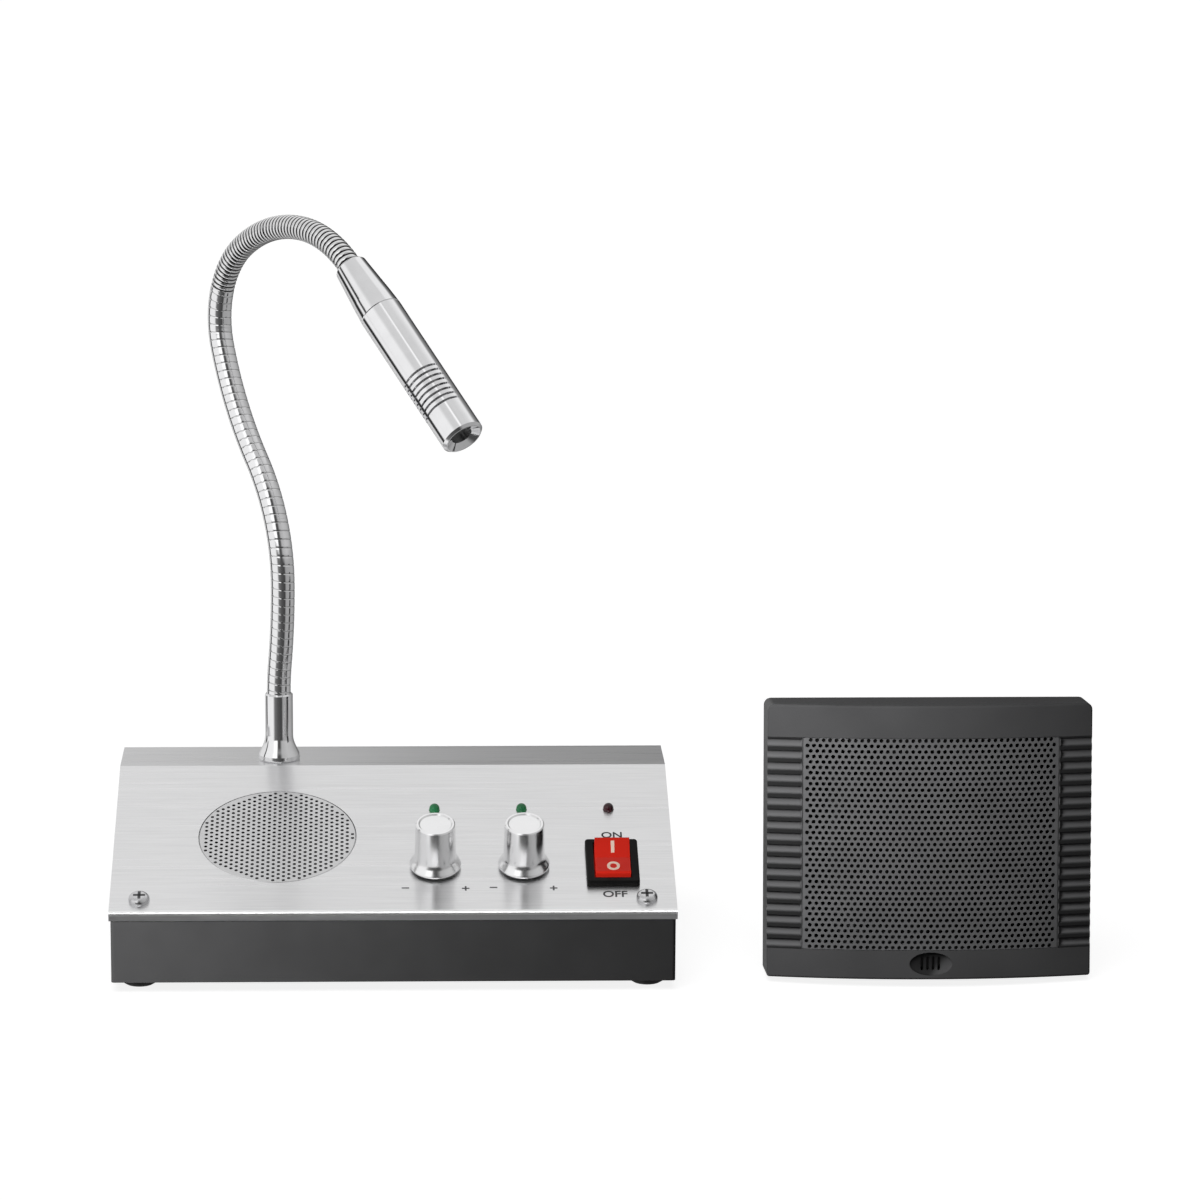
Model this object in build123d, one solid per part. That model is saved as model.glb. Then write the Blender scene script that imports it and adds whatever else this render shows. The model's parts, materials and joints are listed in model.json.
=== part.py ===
from build123d import *
import os
from math import cos, radians, sin, sqrt, tan

# Teller window intercom: a desk unit with a gooseneck microphone, and a speaker
# unit for the public side, standing beside it. Millimetres, +Z up, +X to the
# right as the clerk sees it, the clerk at -Y. The origin is the centre of the
# whole pair at table level.

# ---- the pair ----
unit_gap = 26.0            # from the desk unit's edge to the window unit

# ---- desk unit, panel ----
panel_width = 160.0
panel_length = 72.6        # along the slope
panel_slope = 20.5         # degrees
strip_depth = 24.0         # flat top behind the slope
panel_front_height = 23.9
sheet = 1.2                # folded aluminium
front_lip = 2.6
rear_flange = 8.0
bend_radius = 1.0
panel_overhang = 0.4       # past the base at each end

# ---- desk unit, base ----
foot_height = 3.0
foot_radius = 5.5
foot_inset = 8.0
base_wall = 1.6
base_corner = 1.0
boss_radius = 3.5

# ---- fasteners ----
screw_shank = 1.45
screw_head = 3.0
screw_head_height = 1.9
screw_length = 9.0
screw_play = 0.15
panel_screw_inset = 8.4    # from the panel's end to the screw
panel_screw_along = 5.7    # up the slope
rear_screw_drop = 4.6      # below the strip

# ---- fits ----
seat_gap = 0.1             # pieces of one body that drop into a hole
turn_gap = 0.05            # radial running clearance of a shaft

# ---- desk loudspeaker ----
desk_grille_radius = 22.6
desk_grille_inset = 46.8   # from the panel's left end to the grille's centre
desk_grille_along = 36.6
grille_flange = 2.6
grille_thickness = 0.8
basket_skin = 0.9
basket_rim = 2.2
cone_skin = 0.6
desk_basket_depth = 8.5
desk_basket_throat = 11.0
cap_clear = 2.6            # from the dust cap's edge to the basket's back
desk_magnet_radius = 13.0
desk_magnet_height = 5.0
magnet_plate = 1.2
magnet_step = 1.5

# ---- controls ----
control_pitch = 25.2
last_control_inset = 17.6  # from the panel's right end
knob_along = 21.1
led_along = 49.5
knob_top_radius = 5.6
knob_waist_radius = 5.85
knob_skirt_radius = 7.3
knob_height = 14.4
knob_skirt_height = 0.7
knob_flare = 3.2
knob_lift = 0.8            # air under the skirt
knob_dish = 0.35
knob_crown = 3.0           # metal above the spindle's end
knob_room = 0.5            # round the nut and the bush, inside the knob
shaft_radius = 3.0
bush_radius = 3.6
bush_height = 5.0
pot_radius = 8.4
pot_depth = 9.5
nut_across = 9.0
nut_height = 2.0
terminal_pitch = 5.0
terminal_width = 1.2
terminal_length = 4.0      # past the body
terminal_thickness = 0.6
led_radius = 1.5
led_height = 2.0
led_flange = 1.9
led_flange_height = 1.0
led_leg = 0.5
led_leg_length = 16.0
led_leg_spacing = 1.27

# ---- rocker switch ----
bezel_width = 15.0
bezel_length = 21.0
bezel_height = 1.9
bezel_corner = 1.0
rocker_width = 9.9
rocker_length = 16.4
rocker_half_travel = 11.0  # degrees each side of the middle
rocker_rise = 1.8          # the saddle above the bezel
rocker_depth = 6.5         # from the saddle to the pivot
rocker_gap = 0.35
switch_body_width = 13.0
switch_body_length = 19.2
switch_body_depth = 14.0
switch_along = 21.8
bezel_edge = 0.5
rocker_pin_radius = 1.0
rocker_skirt = 2.6         # below the pivot
rocker_edge = 0.5
well_floor = 5.0           # below the pivot
tab_width = 4.8
tab_thickness = 0.8
tab_length = 6.0
tab_half_spacing = 6.5

# ---- gooseneck ----
neck_radius = 3.5
neck_bore = 1.9
neck_azimuth = -51.4       # degrees, the vertical plane that the neck lies in
neck_behind_bend = 8.0
neck_left_of_grille = 0.3
ferrule_base_radius = 6.0
ferrule_radius = 4.1
ferrule_rim = 1.6
ferrule_flare_height = 7.6
ferrule_height = 20.0
ferrule_stem = 9.0
stem_radius = 3.9
neck_grip = 6.0            # held in the ferrule, and in the microphone
stem_nut_across = 12.0
stem_nut_height = 3.0
foot_arc = 9.0             # lengths along the neck, from the ferrule to the microphone
root_arc = 24.0
lower_arc = 38.0
middle_arc = 36.0
upper_arc = 35.0
crown_arc = 30.0
tip_arc = 24.0
# each span is a run of arcs: (length, turn in degrees, plus leans forward)
neck_spans = [
    [(foot_arc, 8.0), (root_arc, -8.0)],
    [(lower_arc, -37.5)],
    [(middle_arc, 20.5)],
    [(upper_arc, 73.0)],
    [(crown_arc, 37.0)],
    [(tip_arc, 37.0)],
]
joint_bend = 25.0          # degrees each way, the most any joint turns
ball_gap = 0.15

# ---- microphone ----
mic_radius = 6.2
mic_rear_radius = 4.75
mic_rear_length = 18.3
mic_front_length = 47.7
mic_wall = 1.0
mic_mouth_radius = 3.1
mic_mouth_recess = 2.4
mic_cone_radius = 5.2      # the mouth's countersink at the tip
mic_cone_depth = 1.2
mic_edge = 0.7
mic_spigot = 5.0
vent_count = 8
vent_pitch = 1.77
vent_width = 0.7
vent_chord = 1.6           # from the tube's axis to the cutter's flat end
vent_turn = -26.4          # degrees, the first row of vents round the tube
vent_from_tip = 10.2       # last vent to the tip
capsule_radius = 4.85
capsule_height = 6.5
guard_thickness = 0.4

# ---- circuit board ----
board_width = 112.0
board_depth = 45.0
board_thickness = 1.6
board_right_gap = 12.0     # from the casing's inner wall
board_rear_gap = 3.0
standoff_height = 5.0
standoff_radius = 3.0
board_hole_inset = 4.0
chip_width = 18.0
chip_thickness = 3.6
chip_height = 10.0
chip_left_of_middle = 15.0 # from the board's middle
sink_width = 24.0
sink_height = 14.0
sink_plate = 2.0
fin_count = 6
fin_pitch = 4.4
fin_thickness = 1.2
fin_length = 7.0
chip_from_edge = 2.0       # from the board's front edge
can_radius = 4.0
can_height = 10.5
can_count = 3
can_pitch = 11.0
first_can_offset = 8.0     # right of the board's middle
can_from_edge = 2.5        # from the board's front edge

# ---- window unit ----
window_width = 92.0
window_height = 78.0
window_back_from_front = 24.0   # cover's rear edge behind the desk unit's front
window_lean = 6.5               # degrees backwards
cover_rim = 15.0
cover_bulge = 6.5
cover_wall = 2.0
cover_top_corner = 2.0
cover_low_corner = 0.8
cover_edge = 0.7
grille_half_width = 36.3
grille_low = 8.3
grille_high = 68.7
grille_ledge = 1.5
grille_recess = 0.4
rib_count = 18
rib_radius = 1.3
rib_bite = 1.0
dish_half_width = 6.1
dish_half_height = 3.3
dish_depth = 1.6
dish_height = 4.5
slot_count = 4
slot_pitch = 1.6
slot_width = 0.8
slot_height = 4.0
dish_floor = 1.5           # wall left behind the dish
window_mic_radius = 3.0
window_mic_length = 4.0
shell_depth = 16.0
shell_inset = 2.2
shell_taper = 2.2
shell_top_inset = 6.0
shell_wall = 2.0
window_speaker_radius = 28.5
window_basket_depth = 11.0
window_basket_throat = 13.0
window_magnet_radius = 15.0
window_magnet_height = 6.0
speaker_setback = 5.5      # rim of the loudspeaker behind the cover's wall
speaker_ring_wall = 2.0
support_bar = 2.4
pillar_radius = 3.0
pillar_side_inset = 8.1
pillar_low = 8.5
pillar_high = 66.0
hang_hole_radius = 2.0
hang_hole_depth = 5.0
hang_boss_radius = 4.0
hang_boss_floor = 1.5      # left under the hole
hang_half_spacing = 25.0
hang_from_top = 18.0
cover_hole_depth = 6.5     # for the screws, in the cover's bosses
screw_bite = 5.5           # of the screws, in the cover's bosses

# ---- sockets ----
jack_bore = 1.8
jack_nose = 3.0
jack_body = 7.0
jack_length = 12.0
power_socket_radius = 3.2
power_pin_radius = 1.0
power_nose = 4.2
socket_floor = 2.0
window_jack_x = 26.0
window_jack_height = 13.0
power_body_width = 9.0
power_body_height = 11.0
power_body_length = 13.0
power_inset = 30.0         # from the panel's right end
line_inset = 52.0


def further(state, length, turn):
    """The neck's state (forward, height, heading) at the end of an arc."""
    forward, height, heading = state
    if abs(turn) < 0.01:
        step = radians(heading)
        return forward + length * sin(step), height + length * cos(step), heading
    start, end = radians(heading), radians(heading + turn)
    radius = length / radians(turn)
    forward += radius * (cos(start) - cos(end))
    height += radius * (sin(end) - sin(start))
    return forward, height, heading + turn


def neck_states():
    """The state at the foot of each span, and at the end of the last."""
    states = [(0.0, ferrule_height, 0.0)]
    for arcs in neck_spans:
        state = states[-1]
        for length, turn in arcs:
            state = further(state, length, turn)
        states.append(state)
    return states


def neck_lean_back():
    """How far the neck's centre line leans back from its foot, where it stands upright."""
    state = neck_states()[3]
    length, turn = neck_spans[3][0]
    upright = -state[2] / turn
    return -further(state, length * upright, turn * upright)[0]


# ---- worked out ----
slope = radians(panel_slope)
slope_run = panel_length * cos(slope)
slope_rise = panel_length * sin(slope)
strip_height = panel_front_height + slope_rise
desk_depth = slope_run + strip_depth
total_width = panel_width + unit_gap + window_width
desk_x = -total_width / 2 + panel_width / 2
neck_foot = slope_run + neck_behind_bend
neck_rear = neck_foot - sin(radians(neck_azimuth)) * neck_lean_back() + neck_radius
desk_front = -neck_rear / 2
window_x = total_width / 2 - window_width / 2
desk_grille_x = -panel_width / 2 + desk_grille_inset
neck_x = desk_grille_x - neck_left_of_grille
first_control_x = panel_width / 2 - last_control_inset - 2 * control_pitch
floor_top = foot_height + base_wall
shaft_top = knob_lift + knob_height - knob_crown

desk = Location((desk_x, desk_front, 0))
panel_plane = Plane(
    origin=(desk_x, desk_front, panel_front_height),
    x_dir=(1, 0, 0),
    z_dir=(0, -sin(slope), cos(slope)),
)
window = Location((window_x, desk_front + window_back_from_front, 0), (-window_lean, 0, 0))


def save(name, shape):
    """Write one node, as one solid or a group of separate solids."""
    solids = shape.solids()
    node = solids[0] if len(solids) == 1 else Compound(children=list(solids))
    export_step(node, f"parts/{name}.step")


def on_panel(x, along, height=0.0):
    """A place on the sloped panel: across, up the slope, and out of it."""
    return panel_plane.location * Pos(x, along, height)


def up(radius, height):
    """A cylinder that stands on the local origin."""
    return Cylinder(radius, height, align=(Align.CENTER, Align.CENTER, Align.MIN))


def down(radius, height):
    return Cylinder(radius, height, align=(Align.CENTER, Align.CENTER, Align.MAX))


def hexagon(across, height):
    side_radius = across / sqrt(3)
    return extrude(RegularPolygon(side_radius, 6), height)


def turned(*outline):
    """A body of revolution about Z, from (radius, height) corners."""
    face = make_face(Polyline(*[(r, 0, z) for r, z in outline], close=True))
    return revolve(face, Axis.Z)


def in_side_view(*outline):
    """A face in the YZ plane from (y, z) corners."""
    return make_face(Polyline(*[(0, y, z) for y, z in outline], close=True))


# ---------------------------------------------------------------- desk casing


def under_bend():
    """Where the sheet's underside bends, under the top of the slope."""
    return slope_run + sheet * tan(slope / 2), strip_height - sheet


def under_front():
    """Where the sheet's underside meets the inside of the front lip."""
    return sheet, panel_front_height + (sheet * sin(slope) - sheet) / cos(slope)


def switch_hole():
    return Box(switch_body_width + 2 * seat_gap, switch_body_length + 2 * seat_gap, 4 * sheet)


def top_panel():
    face = in_side_view(
        (0, panel_front_height - front_lip),
        (0, panel_front_height),
        (slope_run, strip_height),
        (desk_depth, strip_height),
        (desk_depth, strip_height - rear_flange),
        (desk_depth - sheet, strip_height - rear_flange),
        (desk_depth - sheet, strip_height - sheet),
        under_bend(),
        under_front(),
        (sheet, panel_front_height - front_lip),
    )
    panel = extrude(face, panel_width / 2, dir=(1, 0, 0), both=True)
    corners = [(0, panel_front_height), (slope_run, strip_height), (desk_depth, strip_height)]
    bends = [
        edge
        for edge in panel.edges().filter_by(Axis.X)
        for y, z in corners
        if abs(edge.center().Y - y) < 0.01 and abs(edge.center().Z - z) < 0.01
    ]
    panel = desk * fillet(bends, min(bend_radius, 0.8 * sheet))
    through = 4 * sheet
    hole = Cylinder(desk_grille_radius + seat_gap, through)
    panel -= on_panel(desk_grille_x, desk_grille_along) * hole
    for x in control_places()[:2]:
        panel -= on_panel(x, knob_along) * Cylinder(bush_radius + seat_gap, through)
    for x in control_places():
        panel -= on_panel(x, led_along) * Cylinder(led_radius + seat_gap, through)
    panel -= on_panel(control_places()[2], switch_along) * switch_hole()
    for place in panel_screw_places():
        panel -= place * Cylinder(screw_shank + screw_play, through)
    for place in rear_screw_places():
        panel -= place * Cylinder(screw_shank + screw_play, through)
    panel -= neck_place * Cylinder(stem_radius + seat_gap, through)
    return panel


def control_places():
    return [first_control_x + control_pitch * i for i in range(3)]


def panel_screw_places():
    reach = panel_width / 2 - panel_screw_inset
    return [on_panel(side * reach, panel_screw_along) for side in (-1, 1)]


def rear_screw_places():
    reach = panel_width / 2 - panel_screw_inset
    height = strip_height - rear_screw_drop
    return [desk * Pos(side * reach, desk_depth, height) * Rot(-90, 0, 0) for side in (-1, 1)]


def base_block(inset):
    """The casing's outer shape, or the room inside it when inset is its wall."""
    front, rear = sheet + inset, desk_depth - sheet - inset
    half_width = panel_width / 2 - panel_overhang - inset
    bend_y, bend_z = under_bend()
    front_y, front_z = under_front()
    face = in_side_view(
        (front, foot_height),
        (front, front_z + (front - front_y) * tan(slope)),
        (bend_y, bend_z),
        (rear, bend_z),
        (rear, foot_height),
    )
    return extrude(face, half_width, dir=(1, 0, 0), both=True)


def base_tray():
    block = base_block(0)
    uprights = block.edges().filter_by(Axis.Z)
    block = fillet(uprights, base_corner)
    room = Pos(0, 0, base_wall) * base_block(base_wall)
    above = Pos(0, 0, rear_flange) * room
    tray = desk * (block - room - above)
    solid_block = desk * block
    for place in panel_screw_places():
        foot = place.position
        column = Pos(foot.X, foot.Y, foot_height) * up(boss_radius, strip_height)
        tray += column & solid_block
    for place in panel_screw_places():
        tray -= place * down(screw_shank + screw_play, screw_length + 1)
    for place in rear_screw_places():
        tray -= place * Cylinder(screw_shank + screw_play, 6 * sheet)
    for x, y in board_holes():
        tray += desk * Pos(x, y, floor_top) * up(standoff_radius, standoff_height)
    for x, y in board_holes():
        tray -= desk * Pos(x, y, floor_top) * up(screw_shank, standoff_height)
    for x, y in foot_places():
        tray -= desk * Pos(x, y, foot_height) * up(foot_radius / 3 + seat_gap, base_wall)
    tray -= power_place * Cylinder(power_nose + seat_gap, 4 * base_wall)
    tray -= line_place * Cylinder(jack_nose + seat_gap, 4 * base_wall)
    return tray


def foot_places():
    reach_x = panel_width / 2 - foot_inset
    low_y, high_y = sheet + foot_inset + 2, desk_depth - sheet - foot_inset - 2
    return [(x, y) for x in (-reach_x, reach_x) for y in (low_y, high_y)]


def rubber_feet():
    """Round feet, each with a peg pressed up through the floor."""
    foot = turned(
        (0, 0),
        (foot_radius - 1.6, 0),
        (foot_radius - 0.5, 0.7),
        (foot_radius, 1.8),
        (foot_radius, foot_height),
        (foot_radius / 3, foot_height),
        (foot_radius / 3, foot_height + base_wall + 0.6),
        (0, foot_height + base_wall + 0.6),
    )
    return [desk * Pos(x, y, 0) * foot for x, y in foot_places()]


def pan_screw(length):
    """A pan-head screw along -Z, its head on the local origin, with a cross cut in it."""
    head = up(screw_head, screw_head_height)
    head = fillet(head.faces().sort_by(Axis.Z)[-1].edges(), 0.75 * screw_head_height)
    cross = Box(screw_head, 0.6, 1.2) + Box(0.6, screw_head, 1.2)
    head -= Pos(0, 0, screw_head_height) * cross
    return head + down(screw_shank, length)


# ------------------------------------------------------------ desk loudspeaker


def desk_grille():
    """A disc flush with the panel, on a flange that lies under the sheet."""
    rim = desk_grille_radius
    return turned(
        (0, -grille_thickness),
        (rim - 1.5, -grille_thickness),
        (rim - 1.5, -sheet - grille_thickness),
        (rim + grille_flange, -sheet - grille_thickness),
        (rim + grille_flange, -sheet),
        (rim, -sheet),
        (rim, 0),
        (0, 0),
    )


def speaker_basket(rim, depth, throat):
    """The pressed frame of a loudspeaker that fires towards +Z, its rim face at 0."""
    skin = basket_skin
    bowl = turned(
        (rim - basket_rim, 0),
        (rim, 0),
        (rim, -skin),
        (rim - 1.6, -skin),
        (throat + skin, -depth + skin),
        (throat + skin, -depth),
        (0, -depth),
        (0, -depth + skin),
        (throat, -depth + skin),
        (rim - basket_rim, -skin),
    )
    windows = PolarLocations((rim + throat) / 2, 4)
    slot = Box(0.34 * rim, 0.42 * rim, depth - 5 * skin)
    return bowl - windows * (Pos(0, 0, -depth / 2) * slot)


def speaker_cone(rim, depth, throat):
    """Paper cone, rolled surround and dust cap in one thin skin."""
    skin = cone_skin
    edge = rim - basket_rim - seat_gap
    low = -depth + cap_clear
    return turned(
        (edge, -0.2),
        (edge, -0.2 - skin),
        (edge - 2.4, -0.2 - skin),
        (throat * 0.55, low),
        (0, low + 0.9),
        (0, low + 0.9 + skin),
        (throat * 0.5, low + skin + 0.2),
        (edge - 2.6, -0.2),
    )


def speaker_magnet(radius, height):
    """Ring magnet with its back plate, on the local origin, towards -Z."""
    ring = down(radius, height)
    return ring + Pos(0, 0, -height) * down(radius - magnet_step, magnet_plate)


def save_desk_speaker():
    seat = on_panel(desk_grille_x, desk_grille_along)
    save("desk_grille", seat * desk_grille())
    rim = desk_grille_radius + grille_flange
    face = seat * Pos(0, 0, -sheet - grille_thickness)
    depth, throat = desk_basket_depth, desk_basket_throat
    magnet = speaker_magnet(desk_magnet_radius, desk_magnet_height)
    save("desk_speaker_frame", face * speaker_basket(rim, depth, throat))
    save("desk_speaker_cone", face * speaker_cone(rim, depth, throat))
    save("desk_speaker_magnet", face * Pos(0, 0, -depth) * magnet)


# -------------------------------------------------------------------- controls


def volume_knob():
    """A turned knob with a flared skirt, a dished top, and a bore for its shaft."""
    top = knob_lift + knob_height
    flare_foot = knob_lift + knob_skirt_height
    flare_top = flare_foot + knob_flare
    with BuildPart() as knob:
        with BuildSketch(Plane.XZ):
            with BuildLine():
                Line((0, top - knob_dish), (knob_top_radius - 1.2, top - knob_dish))
                Line((knob_top_radius - 1.2, top - knob_dish), (knob_top_radius - 0.8, top))
                Line((knob_top_radius - 0.8, top), (knob_top_radius - 0.3, top))
                Line((knob_top_radius - 0.3, top), (knob_top_radius, top - 0.3))
                Line((knob_top_radius, top - 0.3), (knob_waist_radius, flare_top))
                flare = Spline(
                    (knob_waist_radius, flare_top),
                    (knob_skirt_radius, flare_foot),
                    tangents=((0, -1), (0.5, -1)),
                )
                Line(flare @ 1, (knob_skirt_radius, knob_lift + 0.3))
                Line((knob_skirt_radius, knob_lift + 0.3), (knob_skirt_radius - 0.3, knob_lift))
                Line((knob_skirt_radius - 0.3, knob_lift), (0, knob_lift))
                Line((0, knob_lift), (0, top - knob_dish))
            make_face()
        revolve(axis=Axis.Z)
    over_nut = up(nut_across / sqrt(3) + knob_room, nut_height + knob_room)
    over_bush = up(bush_radius + knob_room, bush_height + knob_room)
    bore = up(shaft_radius, shaft_top)
    return knob.part - over_nut - over_bush - bore


def knob_shaft():
    """The potentiometer's spindle, from its body up into the knob."""
    return Pos(0, 0, -sheet) * up(shaft_radius, sheet + shaft_top)


def potentiometer():
    """Body under the sheet, and the bush that comes up through it."""
    body = Pos(0, 0, -sheet) * down(pot_radius, pot_depth)
    bush = Pos(0, 0, -sheet) * up(bush_radius, sheet + bush_height)
    bore = Pos(0, 0, -sheet) * up(shaft_radius + turn_gap, sheet + bush_height)
    terminal = Box(terminal_width, pot_radius + terminal_length, terminal_thickness)
    reach = -(pot_radius + terminal_length) / 2
    height = -sheet - pot_depth + 2 * terminal_thickness
    terminals = [Pos(terminal_pitch * i, reach, height) * terminal for i in (-1, 0, 1)]
    return body + bush - bore + terminals


def bush_nut():
    return hexagon(nut_across, nut_height) - up(bush_radius + turn_gap, nut_height)


def status_led():
    """A domed lens with the flange that stops it under the sheet."""
    dome = Pos(0, 0, led_height - led_radius) * Sphere(led_radius)
    lens = Pos(0, 0, -sheet) * up(led_radius, sheet + led_height - led_radius)
    flange = Pos(0, 0, -sheet) * down(led_flange, led_flange_height)
    leg = Pos(0, 0, -sheet - led_flange_height) * Box(led_leg, led_leg, led_leg_length, align=top_aligned)
    legs = [Pos(side * led_leg_spacing / 2, 0, 0) * leg for side in (-1, 1)]
    return lens + dome + flange + legs


top_aligned = (Align.CENTER, Align.CENTER, Align.MAX)
foot_aligned = (Align.CENTER, Align.CENTER, Align.MIN)


def switch_body():
    """The switch's bezel and its body below the sheet, hollow for the rocker."""
    bezel = Box(bezel_width, bezel_length, bezel_height, align=foot_aligned)
    bezel = fillet(bezel.edges().filter_by(Axis.Z), bezel_corner)
    bezel = fillet(bezel.faces().sort_by(Axis.Z)[-1].edges(), bezel_edge)
    body = Box(switch_body_width, switch_body_length, switch_body_depth, align=top_aligned)
    well_width = rocker_width + 2 * rocker_gap
    well_length = rocker_length + 2 * rocker_gap
    well_depth = bezel_height - rocker_pivot_height() + well_floor
    well = Pos(0, 0, bezel_height) * Box(well_width, well_length, well_depth, align=top_aligned)
    tab = Box(tab_width, tab_thickness, tab_length, align=top_aligned)
    tabs = [Pos(0, tab_half_spacing * i, -switch_body_depth) * tab for i in (-1, 1)]
    pin = Rot(0, 90, 0) * Cylinder(rocker_pin_radius - turn_gap, well_width)
    return bezel + body - well + Pos(0, 0, rocker_pivot_height()) * pin + tabs


def rocker_pivot_height():
    return bezel_height + rocker_rise - rocker_depth


def rocker():
    """Two flats that meet in a shallow saddle, tilted so that its near end is pressed."""
    tilt = radians(rocker_half_travel)
    reach = rocker_length / 2 - rocker_depth * sin(tilt)
    crown = rocker_depth + reach * tan(tilt)
    face = in_side_view(
        (0, rocker_depth),
        (reach, crown),
        (reach, 0),
        (rocker_skirt, -rocker_skirt),
        (-rocker_skirt, -rocker_skirt),
        (-reach, 0),
        (-reach, crown),
    )
    body = extrude(face, rocker_width / 2, dir=(1, 0, 0), both=True)
    ends = body.edges().filter_by(Axis.X).sort_by(Axis.Z)[-2:]
    body = fillet(ends, rocker_edge)
    body -= Rot(0, 90, 0) * Cylinder(rocker_pin_radius, rocker_width + 1)
    return Pos(0, 0, rocker_pivot_height()) * Rot(rocker_half_travel, 0, 0) * body


def save_controls():
    names = ["inside_volume", "outside_volume"]
    for name, x in zip(names, control_places()):
        place = on_panel(x, knob_along)
        save(f"{name}_knob", place * volume_knob())
        save(f"{name}_shaft", place * knob_shaft())
        save(f"{name}_pot", place * potentiometer())
        save(f"{name}_nut", place * bush_nut())
        save(f"{name}_led", on_panel(x, led_along) * status_led())
    power_x_on_panel = control_places()[2]
    save("power_led", on_panel(power_x_on_panel, led_along) * status_led())
    seat = on_panel(power_x_on_panel, switch_along)
    save("switch_body", seat * switch_body())
    save("switch_rocker", seat * rocker())


# ------------------------------------------------------------------- gooseneck

neck_place = desk * Pos(neck_x, neck_foot, strip_height)
neck_forward = Vector(cos(radians(neck_azimuth)), sin(radians(neck_azimuth)), 0)
neck_sideways = Vector(0, 0, 1).cross(neck_forward)


def neck_point(state):
    forward, height, heading = state
    return neck_place.position + neck_forward * forward + Vector(0, 0, height)


def neck_heading(state):
    turn = radians(state[2])
    return neck_forward * sin(turn) + Vector(0, 0, cos(turn))


def neck_plane(state):
    """A plane across the neck, its Z along the neck."""
    return Plane(origin=neck_point(state), x_dir=neck_sideways, z_dir=neck_heading(state))


def tube_arc(state, length, turn):
    """One arc of the neck's tube."""
    ring = Circle(neck_radius) - Circle(neck_bore)
    section = neck_plane(state) * ring
    radius = length / radians(turn)
    toward = neck_forward * cos(radians(state[2])) - Vector(0, 0, sin(radians(state[2])))
    centre = neck_point(state) + toward * radius
    axis = Axis(centre, neck_sideways)
    return revolve(section, axis, turn)


def ball_end(state):
    """The half ball at a span's lower end, which sits in the span before it."""
    half = Sphere(neck_radius) & down(neck_radius, neck_radius)
    return neck_plane(state).location * (half - down(neck_bore, neck_radius))


def rim_setback():
    """How far a socket's rim stays back, so that the tube can lean over it."""
    return (neck_radius + ball_gap) * sin(radians(joint_bend)) + 0.1


def neck_span(index):
    state = neck_states()[index]
    arcs = neck_spans[index]
    last = index == len(neck_spans) - 1
    if index == 0:
        stub = up(neck_radius, neck_grip) - up(neck_bore, neck_grip)
        span = neck_plane(state).location * Pos(0, 0, -neck_grip) * stub
    else:
        span = ball_end(state)
    for position, (length, turn) in enumerate(arcs):
        if position == len(arcs) - 1 and not last:
            whole = length
            length = whole - rim_setback()
            turn = turn * length / whole
        span += tube_arc(state, length, turn)
        state = further(state, length, turn)
    if last:
        end = up(neck_radius, neck_grip) - up(neck_bore, neck_grip)
        return span + neck_plane(state).location * end
    joint = neck_point(neck_states()[index + 1])
    return span - Pos(*joint) * Sphere(neck_radius + ball_gap)


def neck_ferrule():
    """The flared socket that stands on the strip, with a stem through the sheet."""
    with BuildPart() as ferrule:
        with BuildSketch(Plane.XZ):
            with BuildLine():
                Line((0, -sheet - ferrule_stem), (stem_radius, -sheet - ferrule_stem))
                Line((stem_radius, -sheet - ferrule_stem), (stem_radius, 0))
                Line((stem_radius, 0), (ferrule_base_radius - 0.4, 0))
                Line((ferrule_base_radius - 0.4, 0), (ferrule_base_radius, 0.4))
                Line((ferrule_base_radius, 0.4), (ferrule_base_radius, ferrule_rim))
                flare = Spline(
                    (ferrule_base_radius, ferrule_rim),
                    (ferrule_radius, ferrule_flare_height),
                    tangents=((-0.35, 1), (0, 1)),
                )
                Line(flare @ 1, (ferrule_radius, ferrule_height - 0.4))
                Line((ferrule_radius, ferrule_height - 0.4), (ferrule_radius - 0.3, ferrule_height))
                Line((ferrule_radius - 0.3, ferrule_height), (0, ferrule_height))
                Line((0, ferrule_height), (0, -sheet - ferrule_stem))
            make_face()
        revolve(axis=Axis.Z)
    socket = Pos(0, 0, ferrule_height - neck_grip) * up(neck_radius + turn_gap, neck_grip)
    wire_way = Pos(0, 0, -sheet - ferrule_stem) * up(neck_bore, ferrule_stem + sheet + ferrule_height)
    return neck_place * (ferrule.part - socket - wire_way)


def stem_nut():
    nut = hexagon(stem_nut_across, stem_nut_height) - up(stem_radius + turn_gap, stem_nut_height)
    return neck_place * Pos(0, 0, -sheet - stem_nut_height) * nut


def save_neck():
    save("neck_ferrule", neck_ferrule())
    save("neck_nut", stem_nut())
    for index in range(len(neck_spans)):
        save(f"neck_span_{index + 1}", neck_span(index))


# ------------------------------------------------------------------ microphone


def mic_rear_body():
    """The tapered rear part, with the spigot that the front tube slides on."""
    body = turned(
        (0, 0),
        (mic_rear_radius - 0.4, 0),
        (mic_rear_radius, 0.5),
        (mic_radius - 0.35, 0.72 * mic_rear_length),
        (mic_radius, mic_rear_length - 0.15),
        (mic_radius - 0.15, mic_rear_length),
        (mic_radius - mic_wall - turn_gap, mic_rear_length),
        (mic_radius - mic_wall - turn_gap, mic_rear_length + mic_spigot),
        (0, mic_rear_length + mic_spigot),
    )
    grip = up(neck_radius + turn_gap, neck_grip)
    room = Pos(0, 0, neck_grip + 2) * up(mic_rear_radius - 1.5, mic_rear_length + mic_spigot)
    wire_way = up(neck_bore, mic_rear_length)
    return body - grip - room - wire_way


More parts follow.
